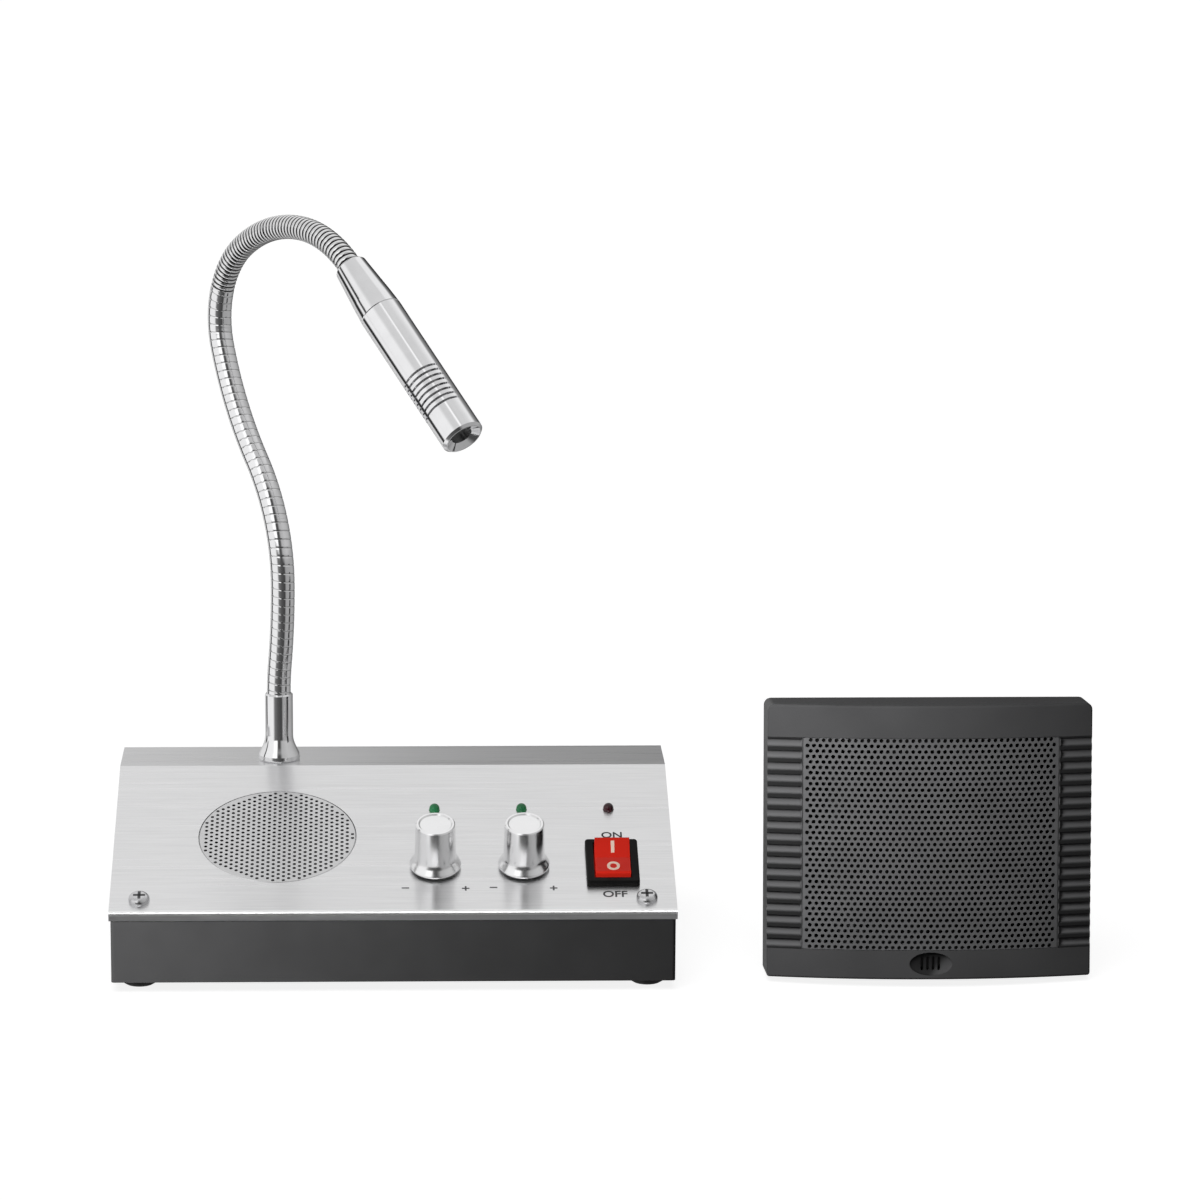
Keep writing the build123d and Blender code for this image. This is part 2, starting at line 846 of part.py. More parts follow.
def mic_front_tube():
    """The front tube, with a countersunk mouth at the tip and two rows of sawn vents."""
    tip = mic_front_length
    tube = turned(
        (0, 0),
        (mic_radius - 0.15, 0),
        (mic_radius, 0.15),
        (mic_radius, tip - mic_edge),
        (mic_radius - mic_edge, tip),
        (mic_cone_radius, tip),
        (mic_mouth_radius, tip - mic_cone_depth),
        (0, tip - mic_cone_depth),
    )
    inside = tip - mic_mouth_recess
    tube -= up(mic_radius - mic_wall, inside)
    tube -= up(mic_mouth_radius, tip)
    cutter = Box(mic_radius, 2 * mic_radius, vent_width)
    reach = vent_chord + mic_radius / 2
    for i in range(vent_count):
        height = tip - vent_from_tip - i * vent_pitch
        for side in (-1, 1):
            tube -= Pos(0, 0, height) * Rot(0, 0, vent_turn) * Pos(side * reach, 0, 0) * cutter
    return tube


def mic_capsule():
    """The electret capsule, up against the guard."""
    top = mic_front_length - mic_mouth_recess - guard_thickness
    return Pos(0, 0, top - capsule_height) * up(capsule_radius, capsule_height)


def mic_guard():
    """The mesh disc behind the mouth."""
    top = mic_front_length - mic_mouth_recess
    return Pos(0, 0, top - guard_thickness) * up(mic_radius - mic_wall - seat_gap, guard_thickness)


def save_microphone():
    place = neck_plane(neck_states()[-1]).location
    save("mic_rear_body", place * mic_rear_body())
    front = place * Pos(0, 0, mic_rear_length)
    save("mic_front_tube", front * mic_front_tube())
    save("mic_capsule", front * mic_capsule())
    save("mic_guard", front * mic_guard())


# --------------------------------------------------------- circuit and sockets

board_x = panel_width / 2 - panel_overhang - base_wall - board_right_gap - board_width / 2
board_y = desk_depth - sheet - base_wall - board_rear_gap - board_depth / 2
board_edge = board_y - board_depth / 2
board_top = floor_top + standoff_height + board_thickness
chip_x = board_x - chip_left_of_middle
power_x = panel_width / 2 - power_inset
line_x = panel_width / 2 - line_inset
power_place = desk * Pos(power_x, desk_depth - sheet - base_wall / 2, board_top + power_body_height / 2)
power_place *= Rot(-90, 0, 0)
line_place = desk * Pos(line_x, desk_depth - sheet - base_wall / 2, board_top + jack_body / 2)
line_place *= Rot(-90, 0, 0)


def board_holes():
    reach_x = board_width / 2 - board_hole_inset
    reach_y = board_depth / 2 - board_hole_inset
    return [(board_x + i * reach_x, board_y + j * reach_y) for i in (-1, 1) for j in (-1, 1)]


def circuit_board():
    board = Box(board_width, board_depth, board_thickness, align=foot_aligned)
    board = Pos(board_x, board_y, floor_top + standoff_height) * board
    for x, y in board_holes():
        board -= Pos(x, y, floor_top) * up(screw_shank + screw_play, 2 * standoff_height)
    return desk * board


def board_screws():
    screw = pan_screw(standoff_height - 0.5 + board_thickness)
    return [desk * Pos(x, y, board_top) * screw for x, y in board_holes()]


def heat_sink():
    """A small finned sink behind the amplifier chip."""
    sink = Box(sink_width, sink_plate, sink_height, align=foot_aligned)
    fin = Box(fin_thickness, fin_length, sink_height, align=foot_aligned)
    first = -fin_pitch * (fin_count - 1) / 2
    for i in range(fin_count):
        sink += Pos(first + i * fin_pitch, (sink_plate + fin_length) / 2, 0) * fin
    behind_chip = chip_from_edge + chip_thickness + sink_plate / 2
    return desk * Pos(chip_x, board_edge + behind_chip, board_top) * sink


def amplifier_chip():
    chip = Box(chip_width, chip_thickness, chip_height, align=foot_aligned)
    return desk * Pos(chip_x, board_edge + chip_from_edge + chip_thickness / 2, board_top) * chip


def capacitors():
    can = up(can_radius, can_height)
    can = fillet(can.faces().sort_by(Axis.Z)[-1].edges(), 0.15 * can_radius)
    first = board_x + first_can_offset
    row = board_edge + can_from_edge + can_radius
    return [desk * Pos(first + i * can_pitch, row, board_top) * can for i in range(can_count)]


def power_socket():
    """A barrel socket: a block on the board, a nose in the rear wall, a pin inside."""
    inner_wall = Pos(0, 0, -base_wall / 2)
    pin_foot = Pos(0, 0, socket_floor - power_body_length)
    body = Box(power_body_width, power_body_height, power_body_length, align=top_aligned)
    body = inner_wall * body + inner_wall * up(power_nose, base_wall)
    body -= pin_foot * up(power_socket_radius, power_body_length)
    return power_place * (body + pin_foot * up(power_pin_radius, power_body_length - 2 * socket_floor))


def phone_jack(wall):
    """A 3.5 mm jack that opens towards +Z: a block behind the wall, its nose in it."""
    body = Box(jack_body, jack_body, jack_length, align=top_aligned)
    body += up(jack_nose, wall)
    return body - Pos(0, 0, wall) * down(jack_bore, jack_length)


def line_jack():
    return line_place * Pos(0, 0, -base_wall / 2) * phone_jack(base_wall)


def save_circuit():
    save("circuit_board", circuit_board())
    save("board_screws", Compound(children=board_screws()))
    save("heat_sink", heat_sink())
    save("amplifier_chip", amplifier_chip())
    save("capacitors", Compound(children=capacitors()))
    save("power_socket", power_socket())
    save("line_jack", line_jack())


# ----------------------------------------------------------------- window unit
# Drawn upright: Y = 0 is the cover's rear edge and Z = 0 its lower edge.

half_window = window_width / 2
face_radius = (half_window**2 + cover_bulge**2) / (2 * cover_bulge)
face_centre = -cover_rim - cover_bulge + face_radius
face_middle = -cover_rim - cover_bulge
speaker_height = (grille_low + grille_high) / 2
speaker_face = face_middle + cover_wall + speaker_setback
dish_seat = dish_depth + dish_floor


def layer(outer, inner, half_width, low, high):
    """A slice of the cover's front between two depths below its face."""
    ring = Cylinder(face_radius - outer, high - low) - Cylinder(face_radius - inner, high - low)
    ring = Pos(0, face_centre, (low + high) / 2) * ring
    front = Pos(0, face_middle, (low + high) / 2) * Box(2 * half_width, 2 * cover_rim, high - low)
    return ring & front


def cover_outline(wall):
    """The cover's plan, in from the outer face by a wall."""
    half = half_window - wall
    radius = face_radius - wall
    corner_y = face_centre - sqrt(radius**2 - half**2)
    front = ThreePointArc((-half, corner_y), (0, face_centre - radius), (half, corner_y))
    rear = Polyline((half, corner_y), (half, 0), (-half, 0), (-half, corner_y))
    return make_face([front, rear])


def cover_block():
    block = extrude(cover_outline(0), window_height)
    along = block.edges().filter_by(Axis.Y)
    block = fillet(along.group_by(Axis.Z)[-1], cover_top_corner)
    block = fillet(block.edges().filter_by(Axis.Y).group_by(Axis.Z)[0], cover_low_corner)
    front = block.faces().sort_by(Axis.Y)[0]
    return fillet(front.edges(), cover_edge)


def side_flutes():
    """The rounded grooves across each side of the cover's face."""
    rib_pitch = (grille_high - grille_low) / rib_count
    reach = face_radius + rib_radius - rib_bite
    flutes = []
    for i in range(rib_count):
        height = grille_low + rib_pitch * (i + 0.5)
        ring = Pos(0, face_centre, height) * Torus(reach, rib_radius)
        for side in (-1, 1):
            width = half_window - grille_half_width
            middle = side * (grille_half_width + width / 2 + 0.6)
            window_box = Pos(middle, face_middle + cover_bulge, height)
            flutes.append(ring & (window_box * Box(width + 0.4, 3 * cover_bulge, 2 * rib_radius)))
    return flutes


def microphone_dish():
    """The oval hollow near the lower edge, and the slots in its floor."""
    bowl = scale(Sphere(1.0), by=(dish_half_width, dish_depth, dish_half_height))
    return Pos(0, face_middle, dish_height) * bowl


def dish_slots():
    first = -slot_pitch * (slot_count - 1) / 2
    slot = Box(slot_width, 4 * cover_wall, slot_height)
    slot = fillet(slot.edges().filter_by(Axis.Y), 0.45 * slot_width)
    return [Pos(first + i * slot_pitch, face_middle, dish_height) * slot for i in range(slot_count)]


def pillar_places():
    reach = half_window - pillar_side_inset
    return [(side * reach, height) for side in (-1, 1) for height in (pillar_low, pillar_high)]


pillar_joint = -6.0


def window_cover():
    room = Pos(0, 0, cover_wall) * extrude(cover_outline(cover_wall), window_height - 2 * cover_wall)
    cover = cover_block() - room
    for x, height in pillar_places():
        start = face_centre - sqrt((face_radius - cover_wall / 2) ** 2 - x**2)
        boss = Pos(x, start, height) * Rot(-90, 0, 0) * up(pillar_radius, pillar_joint - start)
        cover += boss
    cover -= layer(-2.0, grille_recess + grille_thickness, grille_half_width, grille_low, grille_high)
    opening_half = grille_half_width - grille_ledge
    low, high = grille_low + grille_ledge, grille_high - grille_ledge
    cover -= layer(-2.0, cover_wall + 1.0, opening_half, low, high)
    cover += speaker_ring(opening_half, low, high)
    cover -= side_flutes()
    cover += dish_pad()
    cover -= microphone_dish()
    cover -= dish_slots()
    for x, height in pillar_places():
        hole = down(screw_shank + screw_play, cover_hole_depth)
        cover -= Pos(x, pillar_joint, height) * Rot(-90, 0, 0) * hole
    return cover


def dish_pad():
    """Thicker wall behind the dish, which the microphone seats against."""
    low, high = cover_wall / 2, grille_low
    pad = Box(2 * dish_half_width, dish_seat - cover_wall / 2, high - low)
    return Pos(0, face_middle + (dish_seat + cover_wall / 2) / 2, (low + high) / 2) * pad


def speaker_ring(opening_half, low, high):
    """A ring behind the grille that carries the loudspeaker, on four bars."""
    top = grille_recess + grille_thickness
    outer = window_speaker_radius + 0.5
    ring = Cylinder(outer, 2 * cover_rim) - Cylinder(outer - speaker_ring_wall, 2 * cover_rim)
    ring = Pos(0, speaker_face - cover_rim, speaker_height) * Rot(90, 0, 0) * ring
    behind = layer(top, top + 2 * cover_rim, half_window, 0, window_height)
    ring = ring & behind
    bars = layer(top, cover_wall + 0.5, opening_half + 0.5, speaker_height - support_bar / 2,
                 speaker_height + support_bar / 2)
    upright = layer(top, cover_wall + 0.5, support_bar / 2, low - 0.5, high + 0.5)
    sound_way = Pos(0, face_middle, speaker_height) * Rot(90, 0, 0) * Cylinder(
        outer - speaker_ring_wall, 2 * cover_rim)
    return ring + ((bars + upright) - sound_way)


def window_grille():
    return layer(
        grille_recess,
        grille_recess + grille_thickness,
        grille_half_width - seat_gap,
        grille_low + seat_gap,
        grille_high - seat_gap,
    )


def shell_section(depth_y, inset_x, low, high):
    half = half_window - inset_x
    plane = Plane(origin=(0, depth_y, (low + high) / 2), x_dir=(1, 0, 0), z_dir=(0, 1, 0))
    return plane * RectangleRounded(2 * half, high - low, 2.0)


def window_shell():
    """The tapered rear shell; its lower rear edge sets how far the unit leans."""
    rest = shell_depth * tan(radians(window_lean))
    front = shell_section(0, shell_inset, 1.2, window_height - shell_inset)
    rear_low, rear_high = rest, window_height - shell_top_inset
    rear = shell_section(shell_depth, shell_inset + shell_taper, rear_low, rear_high)
    shell = loft([front, rear])
    inner_front = shell_section(-0.5, shell_inset + shell_wall, 1.2 + shell_wall,
                                window_height - shell_inset - shell_wall)
    inner_rear = shell_section(shell_depth - shell_wall, shell_inset + shell_taper + shell_wall,
                               rear_low + shell_wall, rear_high - shell_wall)
    room = loft([inner_front, inner_rear])
    shell -= room
    spigot_outer = shell_section(0, cover_wall + seat_gap, cover_wall + seat_gap,
                                 window_height - cover_wall - seat_gap)
    spigot = extrude(spigot_outer, -3.0, dir=(0, 1, 0))
    spigot_room = shell_section(0, shell_inset + shell_wall, 1.2 + shell_wall,
                                window_height - shell_inset - shell_wall)
    spigot -= extrude(spigot_room, -3.0, dir=(0, 1, 0))
    shell += spigot
    for x, height in pillar_places():
        pillar = Pos(x, pillar_joint, height) * Rot(-90, 0, 0)
        shell += pillar * up(pillar_radius, shell_depth - shell_wall / 2 - pillar_joint)
    for x, height in pillar_places():
        pillar = Pos(x, pillar_joint, height) * Rot(-90, 0, 0)
        shell -= pillar * up(screw_shank + screw_play, 2 * shell_depth)
        recess = Pos(x, shell_depth - screw_head_height, height) * Rot(-90, 0, 0)
        shell -= recess * up(screw_head + 0.3, 2 * screw_head_height)
    for place in hang_places():
        shell += place * down(hang_boss_radius, hang_hole_depth + hang_boss_floor)
    for place in hang_places():
        shell -= place * down(hang_hole_radius, hang_hole_depth)
    shell -= window_jack_place() * Cylinder(jack_nose + seat_gap, 4 * shell_wall)
    return shell


def hang_places():
    height = window_height - hang_from_top
    return [Pos(side * hang_half_spacing, shell_depth, height) * Rot(-90, 0, 0) for side in (-1, 1)]


def window_jack_place():
    return Pos(window_jack_x, shell_depth, window_jack_height) * Rot(-90, 0, 0)


def window_jack():
    return window_jack_place() * Pos(0, 0, -shell_wall) * phone_jack(shell_wall)


def window_screws():
    length = shell_depth - screw_head_height - pillar_joint + screw_bite
    seat = shell_depth - screw_head_height
    return [Pos(x, seat, z) * Rot(-90, 0, 0) * pan_screw(length) for x, z in pillar_places()]


def window_microphone():
    """The capsule that listens through the dish's slots."""
    height = cover_wall + window_mic_radius + seat_gap
    capsule = up(window_mic_radius, window_mic_length)
    return Pos(0, face_middle + dish_seat, height) * Rot(-90, 0, 0) * capsule


def save_window_unit():
    save("window_cover", window * window_cover())
    save("window_grille", window * window_grille())
    save("window_shell", window * window_shell())
    save("window_jack", window * window_jack())
    save("window_screws", window * Compound(children=window_screws()))
    save("window_microphone", window * window_microphone())
    face = window * Pos(0, speaker_face, speaker_height) * Rot(90, 0, 0)
    rim = window_speaker_radius
    depth, throat = window_basket_depth, window_basket_throat
    magnet = speaker_magnet(window_magnet_radius, window_magnet_height)
    save("window_speaker_frame", face * speaker_basket(rim, depth, throat))
    save("window_speaker_cone", face * speaker_cone(rim, depth, throat))
    save("window_speaker_magnet", face * Pos(0, 0, -depth) * magnet)


def save_casing():
    save("base_tray", base_tray())
    save("top_panel", top_panel())
    save("rubber_feet", Compound(children=rubber_feet()))
    screws = [place * pan_screw(screw_length) for place in panel_screw_places()]
    save("panel_screws", Compound(children=screws))
    rear = [place * pan_screw(screw_length - 3) for place in rear_screw_places()]
    save("rear_screws", Compound(children=rear))


def print_joint_places():
    """Say where the joints are, in metres, for whoever poses the model."""
    for index, state in enumerate(neck_states()[1:-1], start=1):
        point = neck_point(state) / 1000
        heading = neck_heading(state)
        print(f"neck joint {index}", [round(v, 6) for v in point], "along", [round(v, 5) for v in heading])
    print("neck sideways", [round(v, 5) for v in neck_sideways])
    normal = panel_plane.z_dir
    print("panel normal", [round(v, 6) for v in normal])
    for x in control_places()[:2]:
        print("knob", [round(v / 1000, 6) for v in on_panel(x, knob_along).position])
    pivot = on_panel(control_places()[2], switch_along, rocker_pivot_height()).position
    print("rocker pivot", [round(v / 1000, 6) for v in pivot])


os.makedirs("parts", exist_ok=True)
save_casing()
save_desk_speaker()
save_controls()
save_circuit()
save_neck()
save_microphone()
save_window_unit()
print_joint_places()
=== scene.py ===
import bmesh
import bpy
import json
import math
from mathutils import Matrix, Vector

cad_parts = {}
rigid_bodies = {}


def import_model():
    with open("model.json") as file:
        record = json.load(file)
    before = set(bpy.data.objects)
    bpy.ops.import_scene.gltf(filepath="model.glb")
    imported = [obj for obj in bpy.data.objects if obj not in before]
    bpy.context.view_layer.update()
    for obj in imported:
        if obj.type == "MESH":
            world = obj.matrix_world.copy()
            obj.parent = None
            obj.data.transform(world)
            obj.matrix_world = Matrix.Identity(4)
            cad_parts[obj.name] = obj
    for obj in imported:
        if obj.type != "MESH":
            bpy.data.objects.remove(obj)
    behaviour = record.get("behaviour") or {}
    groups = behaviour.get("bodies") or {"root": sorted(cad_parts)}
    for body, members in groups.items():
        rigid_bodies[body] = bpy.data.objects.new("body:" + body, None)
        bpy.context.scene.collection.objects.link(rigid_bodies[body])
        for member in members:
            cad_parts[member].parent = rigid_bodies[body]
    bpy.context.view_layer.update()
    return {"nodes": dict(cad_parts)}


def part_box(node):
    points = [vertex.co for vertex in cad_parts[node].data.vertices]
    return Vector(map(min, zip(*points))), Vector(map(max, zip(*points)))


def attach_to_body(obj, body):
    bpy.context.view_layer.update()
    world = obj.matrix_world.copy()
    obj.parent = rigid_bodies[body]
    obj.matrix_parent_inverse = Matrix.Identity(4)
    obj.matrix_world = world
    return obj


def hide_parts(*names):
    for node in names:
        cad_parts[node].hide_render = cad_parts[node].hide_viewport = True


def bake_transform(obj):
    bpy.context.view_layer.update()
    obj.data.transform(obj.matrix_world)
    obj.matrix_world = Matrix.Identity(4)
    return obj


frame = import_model()
nodes = frame["nodes"]
mm = 0.001
print("frame loaded:", len(nodes), "solids")


# ways of working

def addObject(name, mesh):
    piece = bpy.data.objects.new(name, mesh)
    bpy.context.scene.collection.objects.link(piece)
    return piece


def smoothByAngle(mesh, degrees=32):
    mesh.shade_smooth()
    mesh.set_sharp_from_angle(angle=math.radians(degrees))


def meshFrom(build, place=Matrix.Identity(4), smooth=32):
    # build fills a bmesh drawn in millimetres, and place puts it in the frame
    bm = bmesh.new()
    build(bm)
    bmesh.ops.transform(bm, matrix=place @ Matrix.Scale(mm, 4), verts=bm.verts)
    mesh = bpy.data.meshes.new("made")
    bm.to_mesh(mesh)
    bm.free()
    smoothByAngle(mesh, smooth)
    return mesh


def latheInto(bm, profile, segments=96):
    # profile is (radius, height) from the axis round to the axis, anticlockwise seen from +Y
    rings = []
    for radius, height in profile:
        if radius < 1e-6:
            rings.append([bm.verts.new((0, 0, height))])
            continue
        ring = []
        for i in range(segments):
            angle = 2 * math.pi * i / segments
            ring.append(bm.verts.new((radius * math.cos(angle), radius * math.sin(angle), height)))
        rings.append(ring)
    for lower, upper in zip(rings, rings[1:]):
        for i in range(segments):
            j = (i + 1) % segments
            corners = [ring[k % len(ring)] for ring, k in ((lower, i), (lower, j), (upper, j), (upper, i))]
            unique = list(dict.fromkeys(corners))
            if len(unique) > 2:
                bm.faces.new(unique)
    bmesh.ops.recalc_face_normals(bm, faces=bm.faces)


def evaluated(piece):
    # the modifiers' result as a plain mesh, with the modifiers gone
    graph = bpy.context.evaluated_depsgraph_get()
    mesh = bpy.data.meshes.new_from_object(piece.evaluated_get(graph), depsgraph=graph)
    piece.modifiers.clear()
    return mesh


def newTree(name, sockets):
    tree = bpy.data.node_groups.new(name, "GeometryNodeTree")
    tree.interface.new_socket("Geometry", in_out="OUTPUT", socket_type="NodeSocketGeometry")
    tree.interface.new_socket("Geometry", in_out="INPUT", socket_type="NodeSocketGeometry")
    for label, kind in sockets:
        tree.interface.new_socket(label, in_out="INPUT", socket_type="NodeSocket" + kind)
    return tree, tree.nodes.new("NodeGroupInput"), tree.nodes.new("NodeGroupOutput")


def step(tree, kind, inputs=(), **settings):
    # one node: settings are its own properties, inputs pairs of socket and value or output
    node = tree.nodes.new(kind)
    for key, value in settings.items():
        setattr(node, key, value)
    for socket, value in dict(inputs).items():
        if isinstance(value, bpy.types.NodeSocket):
            tree.links.new(value, node.inputs[socket])
        else:
            node.inputs[socket].default_value = value
    return node


def sums(tree, operation, *values):
    inputs = {i: value for i, value in enumerate(values)}
    return step(tree, "ShaderNodeMath", inputs, operation=operation).outputs[0]


def lengthOf(tree, x, y):
    squares = sums(tree, "ADD", sums(tree, "MULTIPLY", x, x), sums(tree, "MULTIPLY", y, y))
    return sums(tree, "SQRT", squares)


def axesOf(tree, vector):
    return step(tree, "ShaderNodeSeparateXYZ", {0: vector}).outputs


def between(tree, value, low, high, first=0.0, last=1.0):
    return step(tree, "ShaderNodeMapRange", {"Value": value, "From Min": low, "From Max": high,
                                             "To Min": first, "To Max": last},
                interpolation_type="SMOOTHSTEP").outputs[0]


def runTree(piece, tree, values):
    modifier = piece.modifiers.new(tree.name, "NODES")
    modifier.node_group = tree
    for item in tree.interface.items_tree:
        if item.item_type == "SOCKET" and item.in_out == "INPUT" and item.name in values:
            modifier[item.identifier] = values[item.name]
    return evaluated(piece)


# finishes

def surface(name, **values):
    material = bpy.data.materials.new(name)
    material.use_nodes = True
    shader = material.node_tree.nodes["Principled BSDF"]
    for label, value in values.items():
        socket = shader.inputs[label.replace("_", " ")]
        if socket.type == "RGBA" and len(value) == 3:
            value = (*value, 1)
        socket.default_value = value
    material.diffuse_color = (*values.get("Base_Color", (0.8, 0.8, 0.8)), 1)[:4]
    return material


def pattern(material, stretch, scale, detail=3.0, seedShift=(0, 0, 0)):
    # noise on object coordinates, stretched along the axes
    tree = material.node_tree
    place = step(tree, "ShaderNodeTexCoord")
    mapping = step(tree, "ShaderNodeMapping", {"Vector": place.outputs["Object"],
                                               "Scale": stretch, "Location": seedShift})
    noise = step(tree, "ShaderNodeTexNoise", {"Vector": mapping.outputs[0], "Scale": scale,
                                              "Detail": detail})
    return noise.outputs["Fac"]


def spread(material, value, low, high):
    node = step(material.node_tree, "ShaderNodeMapRange",
                {"Value": value, "From Min": 0.3, "From Max": 0.7, "To Min": low, "To Max": high})
    return node.outputs[0]


def tint(material, value, low, high):
    ramp = step(material.node_tree, "ShaderNodeValToRGB", {"Fac": value})
    ramp.color_ramp.elements[0].position, ramp.color_ramp.elements[1].position = 0.3, 0.7
    ramp.color_ramp.elements[0].color = (*low, 1)
    ramp.color_ramp.elements[1].color = (*high, 1)
    return ramp.outputs[0]


def attach(material, label, value):
    shader = material.node_tree.nodes["Principled BSDF"]
    material.node_tree.links.new(value, shader.inputs[label])


def relief(material, value, distance, strength=1.0):
    bump = step(material.node_tree, "ShaderNodeBump",
                {"Height": value, "Distance": distance, "Strength": strength})
    attach(material, "Normal", bump.outputs[0])


def brushedMetal(name, low, high, roughness, streak=(6, 190, 190), distance=0.000008):
    material = surface(name, Base_Color=low, Metallic=1.0, Roughness=roughness)
    streaks = pattern(material, streak, 10.0, 4.0)
    wide = pattern(material, (1.0, 140, 140), 8.0, 2.0, (3, 1, 2))
    attach(material, "Base Color", tint(material, streaks, low, high))
    attach(material, "Roughness", spread(material, wide, roughness - 0.03, roughness + 0.03))
    relief(material, streaks, distance)
    # the grooves run along X, so they spread light across it
    shader = material.node_tree.nodes["Principled BSDF"]
    shader.inputs["Anisotropic"].default_value = 0.8
    attach(material, "Tangent", step(material.node_tree, "ShaderNodeCombineXYZ", {1: 1.0}).outputs[0])
    return material


def polishedMetal(name, colour, roughness):
    material = surface(name, Base_Color=colour, Metallic=1.0, Roughness=roughness)
    haze = pattern(material, (1, 1, 1), 180.0, 3.0)
    darker = tuple(0.94 * c for c in colour)
    attach(material, "Roughness", spread(material, haze, roughness * 0.8, roughness * 1.25))
    attach(material, "Base Color", tint(material, haze, darker, colour))
    return material


def mouldedPlastic(name, colour, roughness, grain=2200.0, distance=0.00003, lift=1.15):
    material = surface(name, Base_Color=colour, Roughness=roughness)
    fine = pattern(material, (1, 1, 1), grain, 2.0)
    broad = pattern(material, (1, 1, 1), 60.0, 2.0, (5, 2, 1))
    brighter = tuple(min(1.0, lift * c) for c in colour)
    attach(material, "Base Color", tint(material, broad, colour, brighter))
    attach(material, "Roughness", spread(material, fine, roughness - 0.04, roughness + 0.06))
    relief(material, fine, distance)
    return material


finish = {
    "brushedPanel": brushedMetal("brushedPanel", (0.755, 0.755, 0.76), (0.815, 0.815, 0.82), 0.3),
    "speakerMesh": polishedMetal("speakerMesh", (0.66, 0.66, 0.665), 0.34),
    "blackMesh": mouldedPlastic("blackMesh", (0.012, 0.012, 0.012), 0.35, 1400.0, 0.00001),
    "satinKnob": polishedMetal("satinKnob", (0.86, 0.86, 0.865), 0.2),
    "chrome": polishedMetal("chrome", (0.84, 0.84, 0.85), 0.09),
    "straightChrome": polishedMetal("straightChrome", (0.84, 0.84, 0.85), 0.09),
    "woundChrome": polishedMetal("woundChrome", (0.82, 0.82, 0.825), 0.1),
    "steel": polishedMetal("steel", (0.62, 0.62, 0.63), 0.25),
    "brass": polishedMetal("brass", (0.78, 0.6, 0.3), 0.25),
    "castAluminium": polishedMetal("castAluminium", (0.6, 0.6, 0.61), 0.4),
    "trayPaint": mouldedPlastic("trayPaint", (0.06, 0.06, 0.061), 0.45, 900.0, 0.00002),
    "windowPlastic": mouldedPlastic("windowPlastic", (0.045, 0.045, 0.046), 0.45, 1500.0),
    "coverPlasticWithPaintedShade": mouldedPlastic("coverPlasticWithPaintedShade", (0.045, 0.045, 0.046), 0.45, 1500.0),
    "windowMesh": mouldedPlastic("windowMesh", (0.085, 0.085, 0.087), 0.4, 1800.0, 0.00001),
    "blackPlastic": mouldedPlastic("blackPlastic", (0.009, 0.009, 0.009), 0.4, 1400.0, 0.00001),
    "rubber": mouldedPlastic("rubber", (0.018, 0.018, 0.018), 0.7, 1200.0),
    "redRocker": mouldedPlastic("redRocker", (0.85, 0.03, 0.016), 0.3, 300.0, 0.000005, 1.05),
    "markInk": mouldedPlastic("markInk", (0.09, 0.09, 0.095), 0.5, 800.0, 0.000002),
    "markPale": mouldedPlastic("markPale", (0.95, 0.78, 0.68), 0.4, 800.0, 0.000002),
    "board": mouldedPlastic("board", (0.02, 0.16, 0.07), 0.4, 500.0),
    "paperCone": mouldedPlastic("paperCone", (0.008, 0.008, 0.008), 0.9, 700.0),
    "basketPaint": mouldedPlastic("basketPaint", (0.01, 0.01, 0.01), 0.7, 700.0, 0.000005),
    "recessShade": mouldedPlastic("recessShade", (0.03, 0.03, 0.031), 0.4, 700.0, 0.000002),
    "ferrite": mouldedPlastic("ferrite", (0.09, 0.09, 0.095), 0.6, 600.0),
    "greenLens": mouldedPlastic("greenLens", (0.006, 0.1, 0.035), 0.1, 200.0, 0.000001),
    "redLens": mouldedPlastic("redLens", (0.05, 0.003, 0.009), 0.1, 200.0, 0.000001),
}


def setGlow(material, colour, strength):
    shader = material.node_tree.nodes["Principled BSDF"]
    shader.inputs["Emission Color"].default_value = (*colour, 1)
    shader.inputs["Emission Strength"].default_value = strength


def dull(material, level):
    material.node_tree.nodes["Principled BSDF"].inputs["Specular IOR Level"].default_value = level


setGlow(finish["greenLens"], (0.02, 0.6, 0.16), 0.09)
setGlow(finish["redRocker"], (1.0, 0.03, 0.015), 0.14)
setGlow(finish["markPale"], (1.0, 0.6, 0.42), 0.25)
for label, level in [("paperCone", 0.1), ("basketPaint", 0.1), ("trayPaint", 0.08), ("windowPlastic", 0.08),
                     ("coverPlasticWithPaintedShade", 0.08), ("windowMesh", 0.12), ("blackPlastic", 0.06), ("redRocker", 0.12)]:
    dull(finish[label], level)

nodeFinish = {
    "brushedPanel": ["top_panel"],
    "trayPaint": ["base_tray"],
    "rubber": ["rubber_feet"],
    "steel": ["board_screws", "inside_volume_nut", "outside_volume_nut", "inside_volume_pot",
              "outside_volume_pot", "mic_capsule", "neck_nut", "panel_screws", "rear_screws", "window_screws"],
    "brass": ["inside_volume_shaft", "outside_volume_shaft"],
    "castAluminium": ["heat_sink"],
    "speakerMesh": ["desk_grille"],
    "blackMesh": ["mic_guard", "window_microphone"],
    "satinKnob": ["inside_volume_knob", "outside_volume_knob"],
    "chrome": ["neck_ferrule", "mic_front_tube", "mic_rear_body"] + [f"neck_span_{i}" for i in range(1, 7)],
    "windowPlastic": ["window_shell"],
    "coverPlasticWithPaintedShade": ["window_cover"],
    "windowMesh": ["window_grille"],
    "blackPlastic": ["amplifier_chip", "capacitors", "line_jack", "window_jack", "power_socket", "switch_body"],
    "redRocker": ["switch_rocker"],
    "board": ["circuit_board"],
    "paperCone": ["desk_speaker_cone", "window_speaker_cone"],
    "basketPaint": ["desk_speaker_frame", "window_speaker_frame"],
    "ferrite": ["desk_speaker_magnet", "window_speaker_magnet"],
    "greenLens": ["inside_volume_led", "outside_volume_led"],
    "redLens": ["power_led"],
}
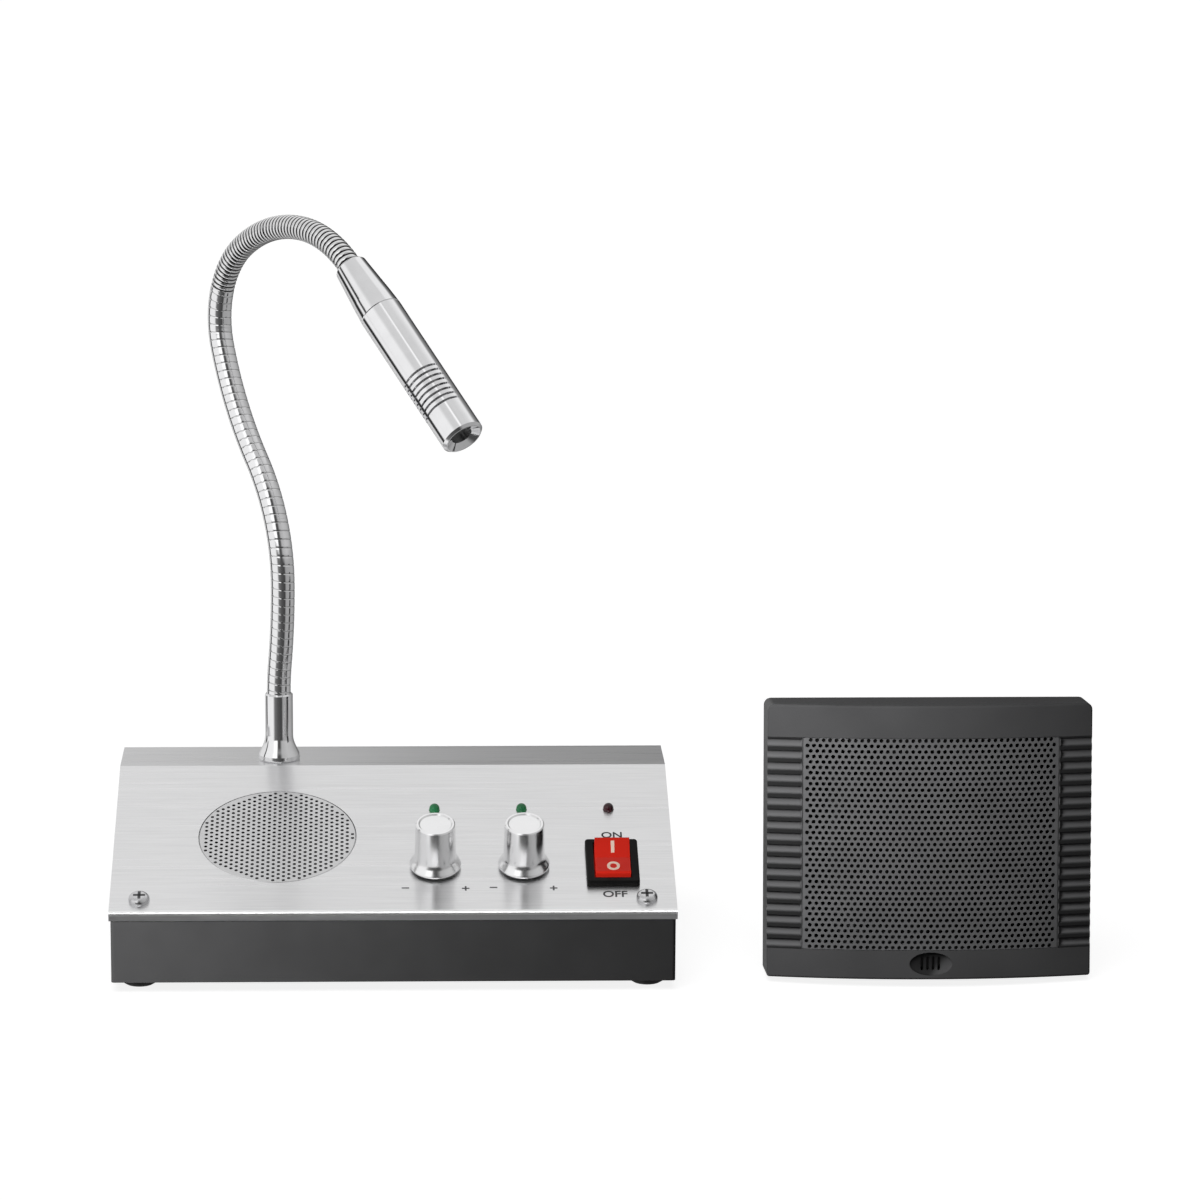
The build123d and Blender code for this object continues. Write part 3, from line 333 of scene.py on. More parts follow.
for finishName, members in nodeFinish.items():
    for member in members:
        nodes[member].data.materials.clear()
        nodes[member].data.materials.append(finish[finishName])
# chrome beside it shows no red
nodes["switch_rocker"].visible_glossy = False
print("finishes set")


# where the units stand

desk = {"slope": 20.5, "frontHeight": 23.9, "stripHeight": 23.9 + 72.6 * math.sin(math.radians(20.5))}
panelLow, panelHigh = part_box("top_panel")
lipY = panelLow[1]
deskX = (panelLow[0] + panelHigh[0]) / 2
panelPlace = (Matrix.Translation((deskX, lipY, desk["frontHeight"] * mm))
              @ Matrix.Rotation(math.radians(desk["slope"]), 4, "X"))

windowUnit = {"lean": 6.5, "behindLip": 24.0, "width": 92.0, "rim": 15.0, "bulge": 6.5}
coverLow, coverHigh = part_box("window_cover")
windowPlace = (Matrix.Translation(((coverLow[0] + coverHigh[0]) / 2, lipY + windowUnit["behindLip"] * mm, 0))
               @ Matrix.Rotation(math.radians(-windowUnit["lean"]), 4, "X"))


# half widths, with heights or half heights, of where shade is painted on the window unit's cover
paintedCoverShade = {"grille": (36.2, 8.6, 68.4), "flutes": (36.4, 8.3, 68.7), "face": -13.8, "pitch": 60.4 / 18,
              "dish": (6.1, 3.3, 4.5)}
# the band along the panel's front fold where a highlight is painted, in millimetres
foldHighlightBand = {"from": -0.4, "to": 0.7}
neckGrooves = {"woundChrome": (0.12, 0.6, 0.03), "straightChrome": (0.1, 0.6, 0.4)}


def partsIn(tree, place):
    # width, depth and height of a point in one unit's own place
    inputs = {"Vector": step(tree, "ShaderNodeTexCoord").outputs["Object"], "Location": place.translation,
              "Rotation": place.to_euler()}
    local = step(tree, "ShaderNodeMapping", inputs, vector_type="TEXTURE")
    return axesOf(tree, local.outputs[0])


def blended(tree, share, first, second):
    return step(tree, "ShaderNodeMix", {"Factor": share, 6: first, 7: second}, data_type="RGBA").outputs[2]


def recolour(tree, share, colour=(0.006, 0.006, 0.006, 1)):
    base = tree.nodes["Principled BSDF"].inputs["Base Color"]
    tree.links.new(blended(tree, share, base.links[0].from_socket, colour), base)


def heightBetween(tree, parts, low, high):
    above = sums(tree, "GREATER_THAN", parts[2], low * mm)
    return sums(tree, "MULTIPLY", above, sums(tree, "LESS_THAN", parts[2], high * mm))


def paintShadeOnCover(material):
    # painted shade and light: dark behind the grille, between the flutes and in the microphone's dish, and a
    # lighter plastic painted over the flutes
    tree, shade = material.node_tree, paintedCoverShade
    parts = partsIn(tree, windowPlace)
    across = sums(tree, "ABSOLUTE", parts[0])
    # painted shade behind the grille, where the cover's inside lies in shadow
    half, low, high = shade["grille"]
    behind = sums(tree, "LESS_THAN", across, half * mm)
    recolour(tree, sums(tree, "MULTIPLY", behind, heightBetween(tree, parts, low, high)))
    half, low, high = shade["flutes"]
    onFace = sums(tree, "LESS_THAN", parts[1], shade["face"] * mm)
    beside = sums(tree, "MULTIPLY", sums(tree, "GREATER_THAN", across, half * mm), onFace)
    inFlutes = sums(tree, "MULTIPLY", beside, heightBetween(tree, parts, low, high))
    turns = sums(tree, "DIVIDE", sums(tree, "SUBTRACT", parts[2], low * mm), shade["pitch"] * mm)
    wave = sums(tree, "COSINE", sums(tree, "MULTIPLY", turns, 2 * math.pi))
    # painted light: the flutes' zone gets a lighter plastic, then painted shade darkens it where neighbouring
    # flutes meet
    recolour(tree, inFlutes, (0.085, 0.085, 0.087, 1))
    recolour(tree, sums(tree, "MULTIPLY", inFlutes, between(tree, wave, -0.5, 0.9, 0.0, 0.88)))
    # painted shade over the dish's left part
    wide, tall, height = shade["dish"]
    u = sums(tree, "DIVIDE", parts[0], wide * mm)
    v = sums(tree, "DIVIDE", sums(tree, "SUBTRACT", parts[2], height * mm), tall * mm)
    inDish = sums(tree, "MULTIPLY", onFace, sums(tree, "LESS_THAN", lengthOf(tree, u, v), 1.0))
    leftPart = between(tree, sums(tree, "SUBTRACT", u, sums(tree, "MULTIPLY", v, 0.4)), 0.2, 0.75, 0.8, 0.0)
    recolour(tree, sums(tree, "MULTIPLY", inDish, leftPart))


def paintFoldHighlight(material):
    # a painted highlight: the panel's front fold gets a white base colour
    tree = material.node_tree
    along = partsIn(tree, panelPlace)[1]
    after = sums(tree, "GREATER_THAN", along, foldHighlightBand["from"] * mm)
    before = sums(tree, "LESS_THAN", along, foldHighlightBand["to"] * mm)
    recolour(tree, sums(tree, "MULTIPLY", after, before), (1, 1, 1, 1))


def darkenGrooves(name):
    # grooves between the neck's windings hold shade, by the depth kept in their UVs
    low, high, grey = neckGrooves[name]
    tree = finish[name].node_tree
    depth = axesOf(tree, step(tree, "ShaderNodeTexCoord").outputs["UV"])[0]
    recolour(tree, between(tree, depth, low, high), (grey, grey, grey, 1))


for name in neckGrooves:
    darkenGrooves(name)
paintShadeOnCover(finish["coverPlasticWithPaintedShade"])
paintFoldHighlight(finish["brushedPanel"])
print("shades set")


# camera

# millimetres and degrees, in front of the desk unit's middle
camera = {"back": 1299.0, "height": 389.4, "pitch": 12.0, "turn": 0.85, "lens": 143.77, "shift": 0.1151}
cameraData = bpy.data.cameras.new("camera")
cameraData.sensor_width = 36
cameraData.lens = camera["lens"]
cameraData.shift_x = camera["shift"]
cameraData.clip_end = 20
cameraObject = bpy.data.objects.new("camera", cameraData)
bpy.context.scene.collection.objects.link(cameraObject)
cameraObject.location = (deskX, lipY - camera["back"] * mm, camera["height"] * mm)
cameraObject.rotation_euler = (math.radians(90 - camera["pitch"]), 0, math.radians(-camera["turn"]))
bpy.context.scene.camera = cameraObject


# perforated sheets

def perforationTree():
    sockets = [("Columns", "Int"), ("Rows", "Int"), ("Column Pitch", "Float"), ("Row Pitch", "Float"),
               ("First Column", "Float"), ("Hole Radius", "Float"), ("Reach", "Vector"),
               ("Round", "Float"), ("Turn", "Rotation"), ("Depth", "Float"), ("Material", "Material")]
    tree, given, result = newTree("perforations", sockets)
    g = given.outputs
    width = sums(tree, "MULTIPLY", sums(tree, "SUBTRACT", g["Columns"], 1), g["Column Pitch"])
    height = sums(tree, "MULTIPLY", sums(tree, "SUBTRACT", g["Rows"], 1), g["Row Pitch"])
    grid = step(tree, "GeometryNodeMeshGrid", {"Size X": width, "Size Y": height,
                                               "Vertices X": g["Columns"], "Vertices Y": g["Rows"]})
    across = axesOf(tree, step(tree, "GeometryNodeInputPosition").outputs[0])[0]
    fromLeft = sums(tree, "ADD", across, sums(tree, "MULTIPLY", width, 0.5))
    column = sums(tree, "ROUND", sums(tree, "DIVIDE", fromLeft, g["Column Pitch"]))
    odd = sums(tree, "MODULO", column, 2)
    shiftY = sums(tree, "MULTIPLY", odd, sums(tree, "MULTIPLY", g["Row Pitch"], 0.5))
    shift = step(tree, "ShaderNodeCombineXYZ", {0: g["First Column"], 1: shiftY})
    moved = step(tree, "GeometryNodeSetPosition", {"Geometry": grid.outputs[0], "Offset": shift.outputs[0]})
    here = axesOf(tree, step(tree, "GeometryNodeInputPosition").outputs[0])
    reach = axesOf(tree, g["Reach"])
    overX = sums(tree, "GREATER_THAN", sums(tree, "ABSOLUTE", here[0]), reach[0])
    overY = sums(tree, "GREATER_THAN", sums(tree, "ABSOLUTE", here[1]), reach[1])
    overRound = sums(tree, "GREATER_THAN", lengthOf(tree, here[0], here[1]), g["Round"])
    outside = sums(tree, "ADD", sums(tree, "ADD", overX, overY), overRound)
    kept = step(tree, "GeometryNodeDeleteGeometry", {"Geometry": moved.outputs[0], "Selection": outside})
    drill = step(tree, "GeometryNodeMeshCylinder", {"Vertices": 12, "Radius": g["Hole Radius"],
                                                    "Depth": g["Depth"]})
    holes = step(tree, "GeometryNodeInstanceOnPoints",
                 {"Points": kept.outputs[0], "Instance": drill.outputs[0]})
    turned = step(tree, "GeometryNodeTransform", {"Geometry": holes.outputs[0], "Rotation": g["Turn"]})
    solid = step(tree, "GeometryNodeRealizeInstances", {"Geometry": turned.outputs[0]})
    cut = tree.nodes.new("GeometryNodeMeshBoolean")
    cut.operation = "DIFFERENCE"
    cut.solver = "MANIFOLD"
    tree.links.new(g["Geometry"], cut.inputs["Mesh 1"])
    tree.links.new(solid.outputs[0], cut.inputs["Mesh 2"])
    whole = step(tree, "GeometryNodeRealizeInstances", {"Geometry": cut.outputs[0]})
    coated = step(tree, "GeometryNodeSetMaterial", {"Geometry": whole.outputs[0], "Material": g["Material"]})
    tree.links.new(coated.outputs[0], result.inputs[0])
    return tree


perforations = perforationTree()


deskGrille = {"radius": 22.6, "flange": 2.6, "sheet": 1.2, "thickness": 0.8, "columnPitch": 1.5,
              "rowPitch": 1.95, "holeRadius": 0.5, "margin": 0.9, "firstColumn": 0.55,
              "x": -33.2, "along": 36.6}


def buildDeskGrille():
    g = deskGrille
    rim, under = g["radius"], -g["sheet"] - g["thickness"]
    profile = [(0, -g["thickness"]), (rim - 1.5, -g["thickness"]), (rim - 1.5, under),
               (rim + g["flange"], under), (rim + g["flange"], -g["sheet"]), (rim, -g["sheet"]),
               (rim, -0.25), (rim - 0.25, 0), (0, 0)]
    blank = addObject("blank", meshFrom(lambda bm: latheInto(bm, profile, 96)))
    mesh = runTree(blank, perforations, {
        "Columns": 31, "Rows": 25, "Column Pitch": g["columnPitch"] * mm, "Row Pitch": g["rowPitch"] * mm,
        "First Column": g["firstColumn"] * mm, "Hole Radius": g["holeRadius"] * mm,
        "Reach": (1, 1, 1), "Round": (rim - g["margin"]) * mm, "Turn": (0, 0, 0), "Depth": 3 * mm,
        "Material": finish["speakerMesh"]})
    bpy.data.objects.remove(blank)
    mesh.transform(panelPlace @ Matrix.Translation((g["x"] * mm, g["along"] * mm, 0)))
    smoothByAngle(mesh)
    piece = addObject("deskGrilleSheet", mesh)
    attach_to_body(piece, "desk_and_window_units")
    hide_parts("desk_grille")
    print("desk grille:", len(mesh.polygons), "faces")


buildDeskGrille()


windowGrille = {"halfWidth": 36.2, "low": 8.4, "high": 68.6, "recess": 0.4, "thickness": 0.8,
                "columnPitch": 0.895, "rowPitch": 3.1, "holeRadius": 0.58, "margin": 0.64, "bends": 48}


def faceDepth(x, below):
    # how far in front of the cover's rear edge the face lies, and below it
    half, bulge = windowUnit["width"] / 2, windowUnit["bulge"]
    radius = (half ** 2 + bulge ** 2) / (2 * bulge)
    centre = -windowUnit["rim"] - bulge + radius
    return centre - math.sqrt((radius - below) ** 2 - x ** 2)


def buildWindowGrille():
    g = windowGrille
    middle = (g["low"] + g["high"]) / 2

    def curvedSheet(bm):
        # drawn with its face towards +Z and its height along Y, which the holes are laid out in
        rings = []
        for i in range(g["bends"] + 1):
            x = g["halfWidth"] * (2 * i / g["bends"] - 1)
            front, back = -faceDepth(x, g["recess"]), -faceDepth(x, g["recess"] + g["thickness"])
            corners = [(x, g["low"] - middle, front), (x, g["high"] - middle, front),
                       (x, g["high"] - middle, back), (x, g["low"] - middle, back)]
            rings.append([bm.verts.new(c) for c in corners])
        for left, right in zip(rings, rings[1:]):
            for a in range(4):
                b = (a + 1) % 4
                bm.faces.new([left[a], right[a], right[b], left[b]])
        bm.faces.new(rings[0])
        bm.faces.new(rings[-1])
        bmesh.ops.recalc_face_normals(bm, faces=bm.faces)

    # the drills stand at Z = 0, so the sheet comes down to them
    down = Matrix.Translation((0, 0, faceDepth(0, 0) * mm))
    blank = addObject("blank", meshFrom(curvedSheet, down))
    mesh = runTree(blank, perforations, {
        "Columns": 83, "Rows": 21, "Column Pitch": g["columnPitch"] * mm, "Row Pitch": g["rowPitch"] * mm,
        "First Column": 0.0, "Hole Radius": g["holeRadius"] * mm,
        "Reach": ((g["halfWidth"] - g["margin"]) * mm, ((g["high"] - g["low"]) / 2 - g["margin"]) * mm, 1),
        "Round": 1.0, "Turn": (0, 0, 0), "Depth": 30 * mm, "Material": finish["windowMesh"]})
    bpy.data.objects.remove(blank)
    upright = (windowPlace @ Matrix.Translation((0, 0, middle * mm)) @ Matrix.Rotation(math.radians(90), 4, "X")
               @ Matrix.Translation((0, 0, -faceDepth(0, 0) * mm)))
    mesh.transform(upright)
    smoothByAngle(mesh)
    piece = addObject("windowGrilleSheet", mesh)
    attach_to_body(piece, "desk_and_window_units")
    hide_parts("window_grille")
    print("window grille:", len(mesh.polygons), "faces")


buildWindowGrille()


# gooseneck

neck = {"x": -33.5, "foot": 72.6 * math.cos(math.radians(20.5)) + 8.0, "azimuth": -51.4, "radius": 3.5,
        "ferrule": 20.0, "bendReach": 11.0, "round": 40,
        "straight": {"Pitch": 2.4 * mm, "Depth": 0.14 * mm, "Flatness": 12.0},
        "arch": {"Pitch": 1.45 * mm, "Depth": 0.36 * mm, "Flatness": 2.4},
        "spans": [[(9.0, 8.0), (24.0, -8.0)], [(38.0, -37.5)], [(36.0, 20.5)], [(35.0, 73.0)],
                  [(30.0, 37.0)], [(24.0, 37.0)]]}
neckForward = Vector((math.cos(math.radians(neck["azimuth"])), math.sin(math.radians(neck["azimuth"])), 0))
neckSideways = Vector((0, 0, 1)).cross(neckForward)
neckFoot = Vector((deskX, lipY, 0)) + Vector((neck["x"], neck["foot"], desk["stripHeight"])) * mm


def neckLine():
    # a point of the neck's middle line for every half millimetre, with its distance from the ferrule
    samples, stops = [], []
    forward, height, heading, run = 0.0, neck["ferrule"], 0.0, 0.0
    for arcs in neck["spans"]:
        for length, turn in arcs:
            steps = int(length * 2)
            for i in range(steps):
                samples.append((run + length * i / steps, forward, height, heading))
                part, angle = length / steps, math.radians(heading)
                nextAngle = angle + math.radians(turn / steps)
                forward += part * math.sin((angle + nextAngle) / 2)
                height += part * math.cos((angle + nextAngle) / 2)
                heading += turn / steps
            run += length
        stops.append(run)
    samples.append((run, forward, height, heading))
    return samples, stops


def neckPoint(sample):
    return neckFoot + (neckForward * sample[1] + Vector((0, 0, sample[2]))) * mm


def keep(tree, geometry, name, value, kind="FLOAT", domain="POINT"):
    return step(tree, "GeometryNodeStoreNamedAttribute", {"Geometry": geometry, "Name": name, "Value": value},
                data_type=kind, domain=domain).outputs[0]


def woundTubeTree():
    sockets = [("Radius", "Float"), ("Pitch", "Float"), ("Depth", "Float"), ("Flatness", "Float"),
               ("Start", "Float"), ("Round", "Int"), ("Sideways", "Vector"), ("Material", "Material")]
    tree, given, result = newTree("wound tube", sockets)
    g = given.outputs
    finer = step(tree, "GeometryNodeResampleCurve", {"Curve": g["Geometry"]}, mode="LENGTH")
    tree.links.new(sums(tree, "DIVIDE", g["Pitch"], 16), finer.inputs["Length"])
    facing = step(tree, "GeometryNodeSetCurveNormal", {"Curve": finer.outputs[0], "Normal": g["Sideways"]},
                  mode="FREE")
    run = step(tree, "GeometryNodeSplineParameter").outputs["Length"]
    keepRun = keep(tree, facing.outputs[0], "run", run)
    ring = step(tree, "GeometryNodeCurvePrimitiveCircle", {"Resolution": g["Round"], "Radius": g["Radius"]})
    turn = step(tree, "GeometryNodeSplineParameter").outputs["Factor"]
    keepTurn = keep(tree, ring.outputs[0], "turn", turn)
    tube = step(tree, "GeometryNodeCurveToMesh",
                {"Curve": keepRun, "Profile Curve": keepTurn, "Fill Caps": True})
    along = step(tree, "GeometryNodeInputNamedAttribute", {"Name": "run"}, data_type="FLOAT").outputs[0]
    about = step(tree, "GeometryNodeInputNamedAttribute", {"Name": "turn"}, data_type="FLOAT").outputs[0]
    wind = sums(tree, "ADD", sums(tree, "DIVIDE", sums(tree, "ADD", along, g["Start"]), g["Pitch"]), about)
    phase = sums(tree, "SUBTRACT", sums(tree, "MULTIPLY", sums(tree, "FRACT", wind), 2), 1)
    groove = sums(tree, "POWER", sums(tree, "ABSOLUTE", phase), g["Flatness"])
    drop = sums(tree, "MULTIPLY", groove, sums(tree, "MULTIPLY", g["Depth"], -1))
    outward = step(tree, "GeometryNodeInputNormal").outputs[0]
    offset = step(tree, "ShaderNodeVectorMath", {0: outward, "Scale": drop}, operation="SCALE")
    ridged = step(tree, "GeometryNodeSetPosition", {"Geometry": tube.outputs[0], "Offset": offset.outputs[0]})
    # U is how deep in the groove a point lies, V how far along the neck
    depthAndRun = step(tree, "ShaderNodeCombineXYZ", {0: groove, 1: along}).outputs[0]
    unwrapped = keep(tree, ridged.outputs[0], "UVMap", depthAndRun, "FLOAT2", "CORNER")
    whole = step(tree, "GeometryNodeRealizeInstances", {"Geometry": unwrapped})
    coated = step(tree, "GeometryNodeSetMaterial", {"Geometry": whole.outputs[0], "Material": g["Material"]})
    tree.links.new(coated.outputs[0], result.inputs[0])
    return tree


def buildNeck():
    tree = woundTubeTree()
    samples, stops = neckLine()
    middles = [(a + b) / 2 for a, b in zip(stops, stops[1:])]
    cuts = [0.0] + middles[:-1] + [stops[-1]]
    for i in range(5):
        low, high = cuts[i], cuts[i + 1]
        inside = [s for s in samples if low - 0.01 <= s[0] <= high + 0.01]
        line = bpy.data.curves.new("line", "CURVE")
        line.dimensions = "3D"
        spline = line.splines.new("POLY")
        spline.points.add(len(inside) - 1)
        for point, sample in zip(spline.points, inside):
            point.co = (*neckPoint(sample), 1)
        path = addObject("path", line)
        mesh = runTree(path, tree, {
            "Radius": neck["radius"] * mm, "Start": inside[0][0] * mm, "Round": neck["round"],
            "Sideways": neckSideways, "Material": finish["woundChrome" if i > 2 else "straightChrome"],
            **neck["arch" if i > 2 else "straight"]})
        bpy.data.objects.remove(path)
        smoothByAngle(mesh, 60)
        piece = addObject(f"neckWinding{i + 1}", mesh)
        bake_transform(piece)
        replaced = [f"neck_span_{i + 1}"] + (["neck_span_6"] if i == 4 else [])
        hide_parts(*replaced)
        print("neck winding", i + 1, len(mesh.polygons), "faces")


buildNeck()


# marks

marks = {"lift": 0.02, "thick": 0.03}


def addMark(name, text, place, size, material, body="desk_and_window_units", bold=0.018, wide=1.0):
    data = bpy.data.curves.new(name, "FONT")
    data.body = text
    data.size = size * mm
    data.align_x, data.align_y = "CENTER", "CENTER"
    data.extrude = marks["thick"] / 2 * mm
    data.offset = bold * size * mm
    writing = addObject(name + "Text", data)
    graph = bpy.context.evaluated_depsgraph_get()
    mesh = bpy.data.meshes.new_from_object(writing.evaluated_get(graph), depsgraph=graph)
    bpy.data.objects.remove(writing)
    mesh.transform(place @ Matrix.Diagonal((wide, 1, 1, 1)) @ Matrix.Translation((0, 0, marks["lift"] * mm)))
    mesh.materials.clear()
    mesh.materials.append(material)
    piece = addObject(name, mesh)
    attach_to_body(piece, body)


def onPanel(x, along, height=0.0):
    return panelPlace @ Matrix.Translation((x * mm, along * mm, height * mm))


for label, text, x, along, size in [
        ("insideLess", "−", 3.45, 10.9, 4.2), ("insideMore", "+", 20.5, 10.6, 4.2),
        ("outsideLess", "−", 28.4, 11.0, 4.2), ("outsideMore", "+", 45.4, 10.6, 4.2),
        ("markOn", "ON", 62.9, 36.5, 3.9), ("markOff", "OFF", 62.7, 7.7, 4.0)]:
    addMark(label, text, onPanel(x, along), size, finish["markInk"])

# the rocker's far half stands up at rest, and its near half lies along the panel
rocker = {"x": 62.5, "along": 21.8, "farFlat": (1.95, 4.87), "nearFlat": (-5.5, 3.58), "farTilt": 22.0,
          "size": 5.2, "bold": 0.045}
farPlace = onPanel(rocker["x"], rocker["along"] + rocker["farFlat"][0], rocker["farFlat"][1])
addMark("rockerOn", "I", farPlace @ Matrix.Rotation(math.radians(rocker["farTilt"]), 4, "X"),
        rocker["size"], finish["markPale"], "power_rocker", rocker["bold"])
addMark("rockerOff", "O", onPanel(rocker["x"], rocker["along"] + rocker["nearFlat"][0], rocker["nearFlat"][1]),
        rocker["size"], finish["markPale"], "power_rocker", rocker["bold"], 0.85)
print("marks set")


# painted shade in the panel screws' cross recesses: thin dark crosses laid on the heads

recess = {"Arm": 3.4 * mm, "Width": 0.85 * mm, "Thickness": 0.04 * mm, "Material": finish["recessShade"]}
screwHeads = {"x": 71.55, "along": 5.7, "top": 1.92}


def recessShadeTree():
    sockets = [("Arm", "Float"), ("Width", "Float"), ("Thickness", "Float"), ("Material", "Material")]
    tree, given, result = newTree("cross recess shades", sockets)
    g = given.outputs
    bars = []
    for size in ({0: g["Arm"], 1: g["Width"]}, {0: g["Width"], 1: g["Arm"]}):
        extent = step(tree, "ShaderNodeCombineXYZ", {**size, 2: g["Thickness"]})
        bars.append(step(tree, "GeometryNodeMeshCube", {"Size": extent.outputs[0]}))
    cross = tree.nodes.new("GeometryNodeJoinGeometry")
    for bar in bars:
        tree.links.new(bar.outputs[0], cross.inputs[0])
    spots = step(tree, "GeometryNodeInstanceOnPoints", {"Points": g["Geometry"], "Instance": cross.outputs[0]})
    whole = step(tree, "GeometryNodeRealizeInstances", {"Geometry": spots.outputs[0]})
    coated = step(tree, "GeometryNodeSetMaterial", {"Geometry": whole.outputs[0], "Material": g["Material"]})
    tree.links.new(coated.outputs[0], result.inputs[0])
    return tree


def buildRecessShades():
    # dark crosses on the two front screws, painted shade of their recesses
    s = screwHeads
    points = bpy.data.meshes.new("points")
    points.from_pydata([(side * s["x"] * mm, s["along"] * mm, s["top"] * mm) for side in (-1, 1)], [], [])
    mesh = runTree(addObject("blank", points), recessShadeTree(), recess)
    bpy.data.objects.remove(bpy.data.objects["blank"])
    mesh.transform(panelPlace)
    piece = addObject("screwRecessShades", mesh)
    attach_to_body(piece, "desk_and_window_units")
    print("screw recesses set")


buildRecessShades()


# light, floor and background

bpy.context.scene.view_settings.view_transform = "Standard"

# what shiny surfaces mirror, by degrees round the object from the clerk's side (minus is left):
# below the horizon, round it up to the softboxes' tops, above them, and straight overhead
studio = {
    "gain": 1.5,
    "low": [(-180, 0.2), (-160, 0.7), (-129, 0.75), (-125, 0.03), (-111, 0.03), (-106, 1.0), (-48, 1.0),
            (-34, 0.2), (-8, 0.1), (24, 0.06), (36, 0.4), (110, 0.45), (136, 0.3), (168, 0.1), (180, 0.1)],
    "side": [(-180, 0.38), (-174, 0.8), (-112, 0.9), (-100, 0.9), (-98, 0.02), (-92, 0.02), (-90, 1.0),
             (-46, 1.05), (-28, 1.45), (-16, 1.4), (-8, 0.1), (8, 0.08), (22, 0.5), (60, 0.62), (100, 0.55),
             (140, 0.35), (160, 0.03), (174, 0.03), (180, 0.2)],
    "top": [(-180, 1.0), (-110, 0.85), (-84, 0.74), (-34, 0.76), (-28, 1.2), (-18, 1.2), (-12, 0.6),
            (30, 0.6), (84, 0.74), (110, 0.8), (130, 0.97), (180, 1.0)],
    "zenith": 0.76, "lowToSide": (-0.03, 0.1), "sideToTop": (0.5, 0.72), "topToZenith": (0.93, 0.985)}
light = {"world": 0.05, "floorGlow": 0.86, "floorShade": 0.5, "floorBounce": 0.2, "floorSun": 1.0,
         "sunSpread": 55.0}


def backgroundShare(tree):
    path = step(tree, "ShaderNodeLightPath").outputs
    return sums(tree, "ADD", path["Is Camera Ray"], path["Is Transmission Ray"])


def ringOf(tree, turn, ring):
    ramp = step(tree, "ShaderNodeValToRGB", {"Fac": turn})
    stops = ramp.color_ramp.elements
    stops[0].position, stops[-1].position = 0.0, 1.0
    for stop, (degrees, value) in zip((stops[0], stops[-1]), (ring[0], ring[-1])):
        stop.color = (*[value / studio["gain"]] * 3, 1)
    for degrees, value in ring[1:-1]:
        stops.new(degrees / 360 + 0.5).color = (*[value / studio["gain"]] * 3, 1)
    return ramp.outputs[0]


def mirroredStudio(tree):
    towards = axesOf(tree, step(tree, "ShaderNodeTexCoord").outputs["Generated"])
    around = sums(tree, "ARCTAN2", towards[0], sums(tree, "MULTIPLY", towards[1], -1))
    turn = sums(tree, "ADD", sums(tree, "DIVIDE", around, 2 * math.pi), 0.5)
    mirrored = ringOf(tree, turn, studio["low"])
    zenith = step(tree, "ShaderNodeRGB")
    zenith.outputs[0].default_value = (*[studio["zenith"] / studio["gain"]] * 3, 1)
    for edge, higher in (("lowToSide", ringOf(tree, turn, studio["side"])),
                         ("sideToTop", ringOf(tree, turn, studio["top"])), ("topToZenith", zenith.outputs[0])):
        rise = between(tree, towards[2], *studio[edge])
        mirrored = blended(tree, rise, mirrored, higher)
    return mirrored


def setWorld():
    # matt surfaces get an even light, metal mirrors the studio, and the camera sees white
    world = bpy.data.worlds.new("studio")
    world.use_nodes = True
    bpy.context.scene.world = world
    tree = world.node_tree
    tree.nodes.clear()
    dim = step(tree, "ShaderNodeBackground", {"Color": (1, 1, 1, 1), "Strength": light["world"]})
    white = step(tree, "ShaderNodeBackground", {"Color": (1, 1, 1, 1), "Strength": 1.0})
    mixed = step(tree, "ShaderNodeMixShader",
                 {0: backgroundShare(tree), 1: dim.outputs[0], 2: white.outputs[0]})
    mirrored = step(tree, "ShaderNodeBackground", {"Color": mirroredStudio(tree), "Strength": studio["gain"]})
    glossy = step(tree, "ShaderNodeLightPath").outputs["Is Glossy Ray"]
    both = step(tree, "ShaderNodeMixShader", {0: glossy, 1: mixed.outputs[0], 2: mirrored.outputs[0]})
    step(tree, "ShaderNodeOutputWorld", {"Surface": both.outputs[0]})


def addFloor():
    # white to the camera but for the shadow, matt to the light, and left out of reflections
    mesh = bpy.data.meshes.new("floor")
    mesh.from_pydata([(-9, -9, 0), (9, -9, 0), (9, 9, 0), (-9, 9, 0)], [], [(0, 1, 2, 3)])
    floor = addObject("floor", mesh)
    material = bpy.data.materials.new("paleFloor")
    material.use_nodes = True
    tree = material.node_tree
    tree.nodes.clear()
    matt = step(tree, "ShaderNodeBsdfDiffuse", {"Color": (*[light["floorBounce"]] * 3, 1)})
    seenMatt = step(tree, "ShaderNodeBsdfDiffuse", {"Color": (*[light["floorShade"]] * 3, 1)})
    glow = step(tree, "ShaderNodeEmission", {"Color": (1, 1, 1, 1), "Strength": light["floorGlow"]})
    seen = step(tree, "ShaderNodeAddShader", {0: seenMatt.outputs[0], 1: glow.outputs[0]})
    mixed = step(tree, "ShaderNodeMixShader",
                 {0: backgroundShare(tree), 1: matt.outputs[0], 2: seen.outputs[0]})
    clear = step(tree, "ShaderNodeBsdfTransparent")
    glossy = step(tree, "ShaderNodeLightPath").outputs["Is Glossy Ray"]
    unmirrored = step(tree, "ShaderNodeMixShader", {0: glossy, 1: mixed.outputs[0], 2: clear.outputs[0]})
    step(tree, "ShaderNodeOutputMaterial", {"Surface": unmirrored.outputs[0]})
    mesh.materials.append(material)


def addLamp(name, place, target, size, power, lit=None, mirrored=False):
    data = bpy.data.lights.new(name, "AREA")
    data.shape = "RECTANGLE"
    data.size, data.size_y = size
    data.energy = power
    lamp = bpy.data.objects.new(name, data)
    bpy.context.scene.collection.objects.link(lamp)
    lamp.location = place
    lamp.rotation_euler = (Vector(target) - Vector(place)).to_track_quat("-Z", "Y").to_euler()
    # metal mirrors the studio ring, not the lamps, unless a lamp is there for that
    lamp.visible_glossy = mirrored
    if lit:
        lamp.light_linking.receiver_collection = lit


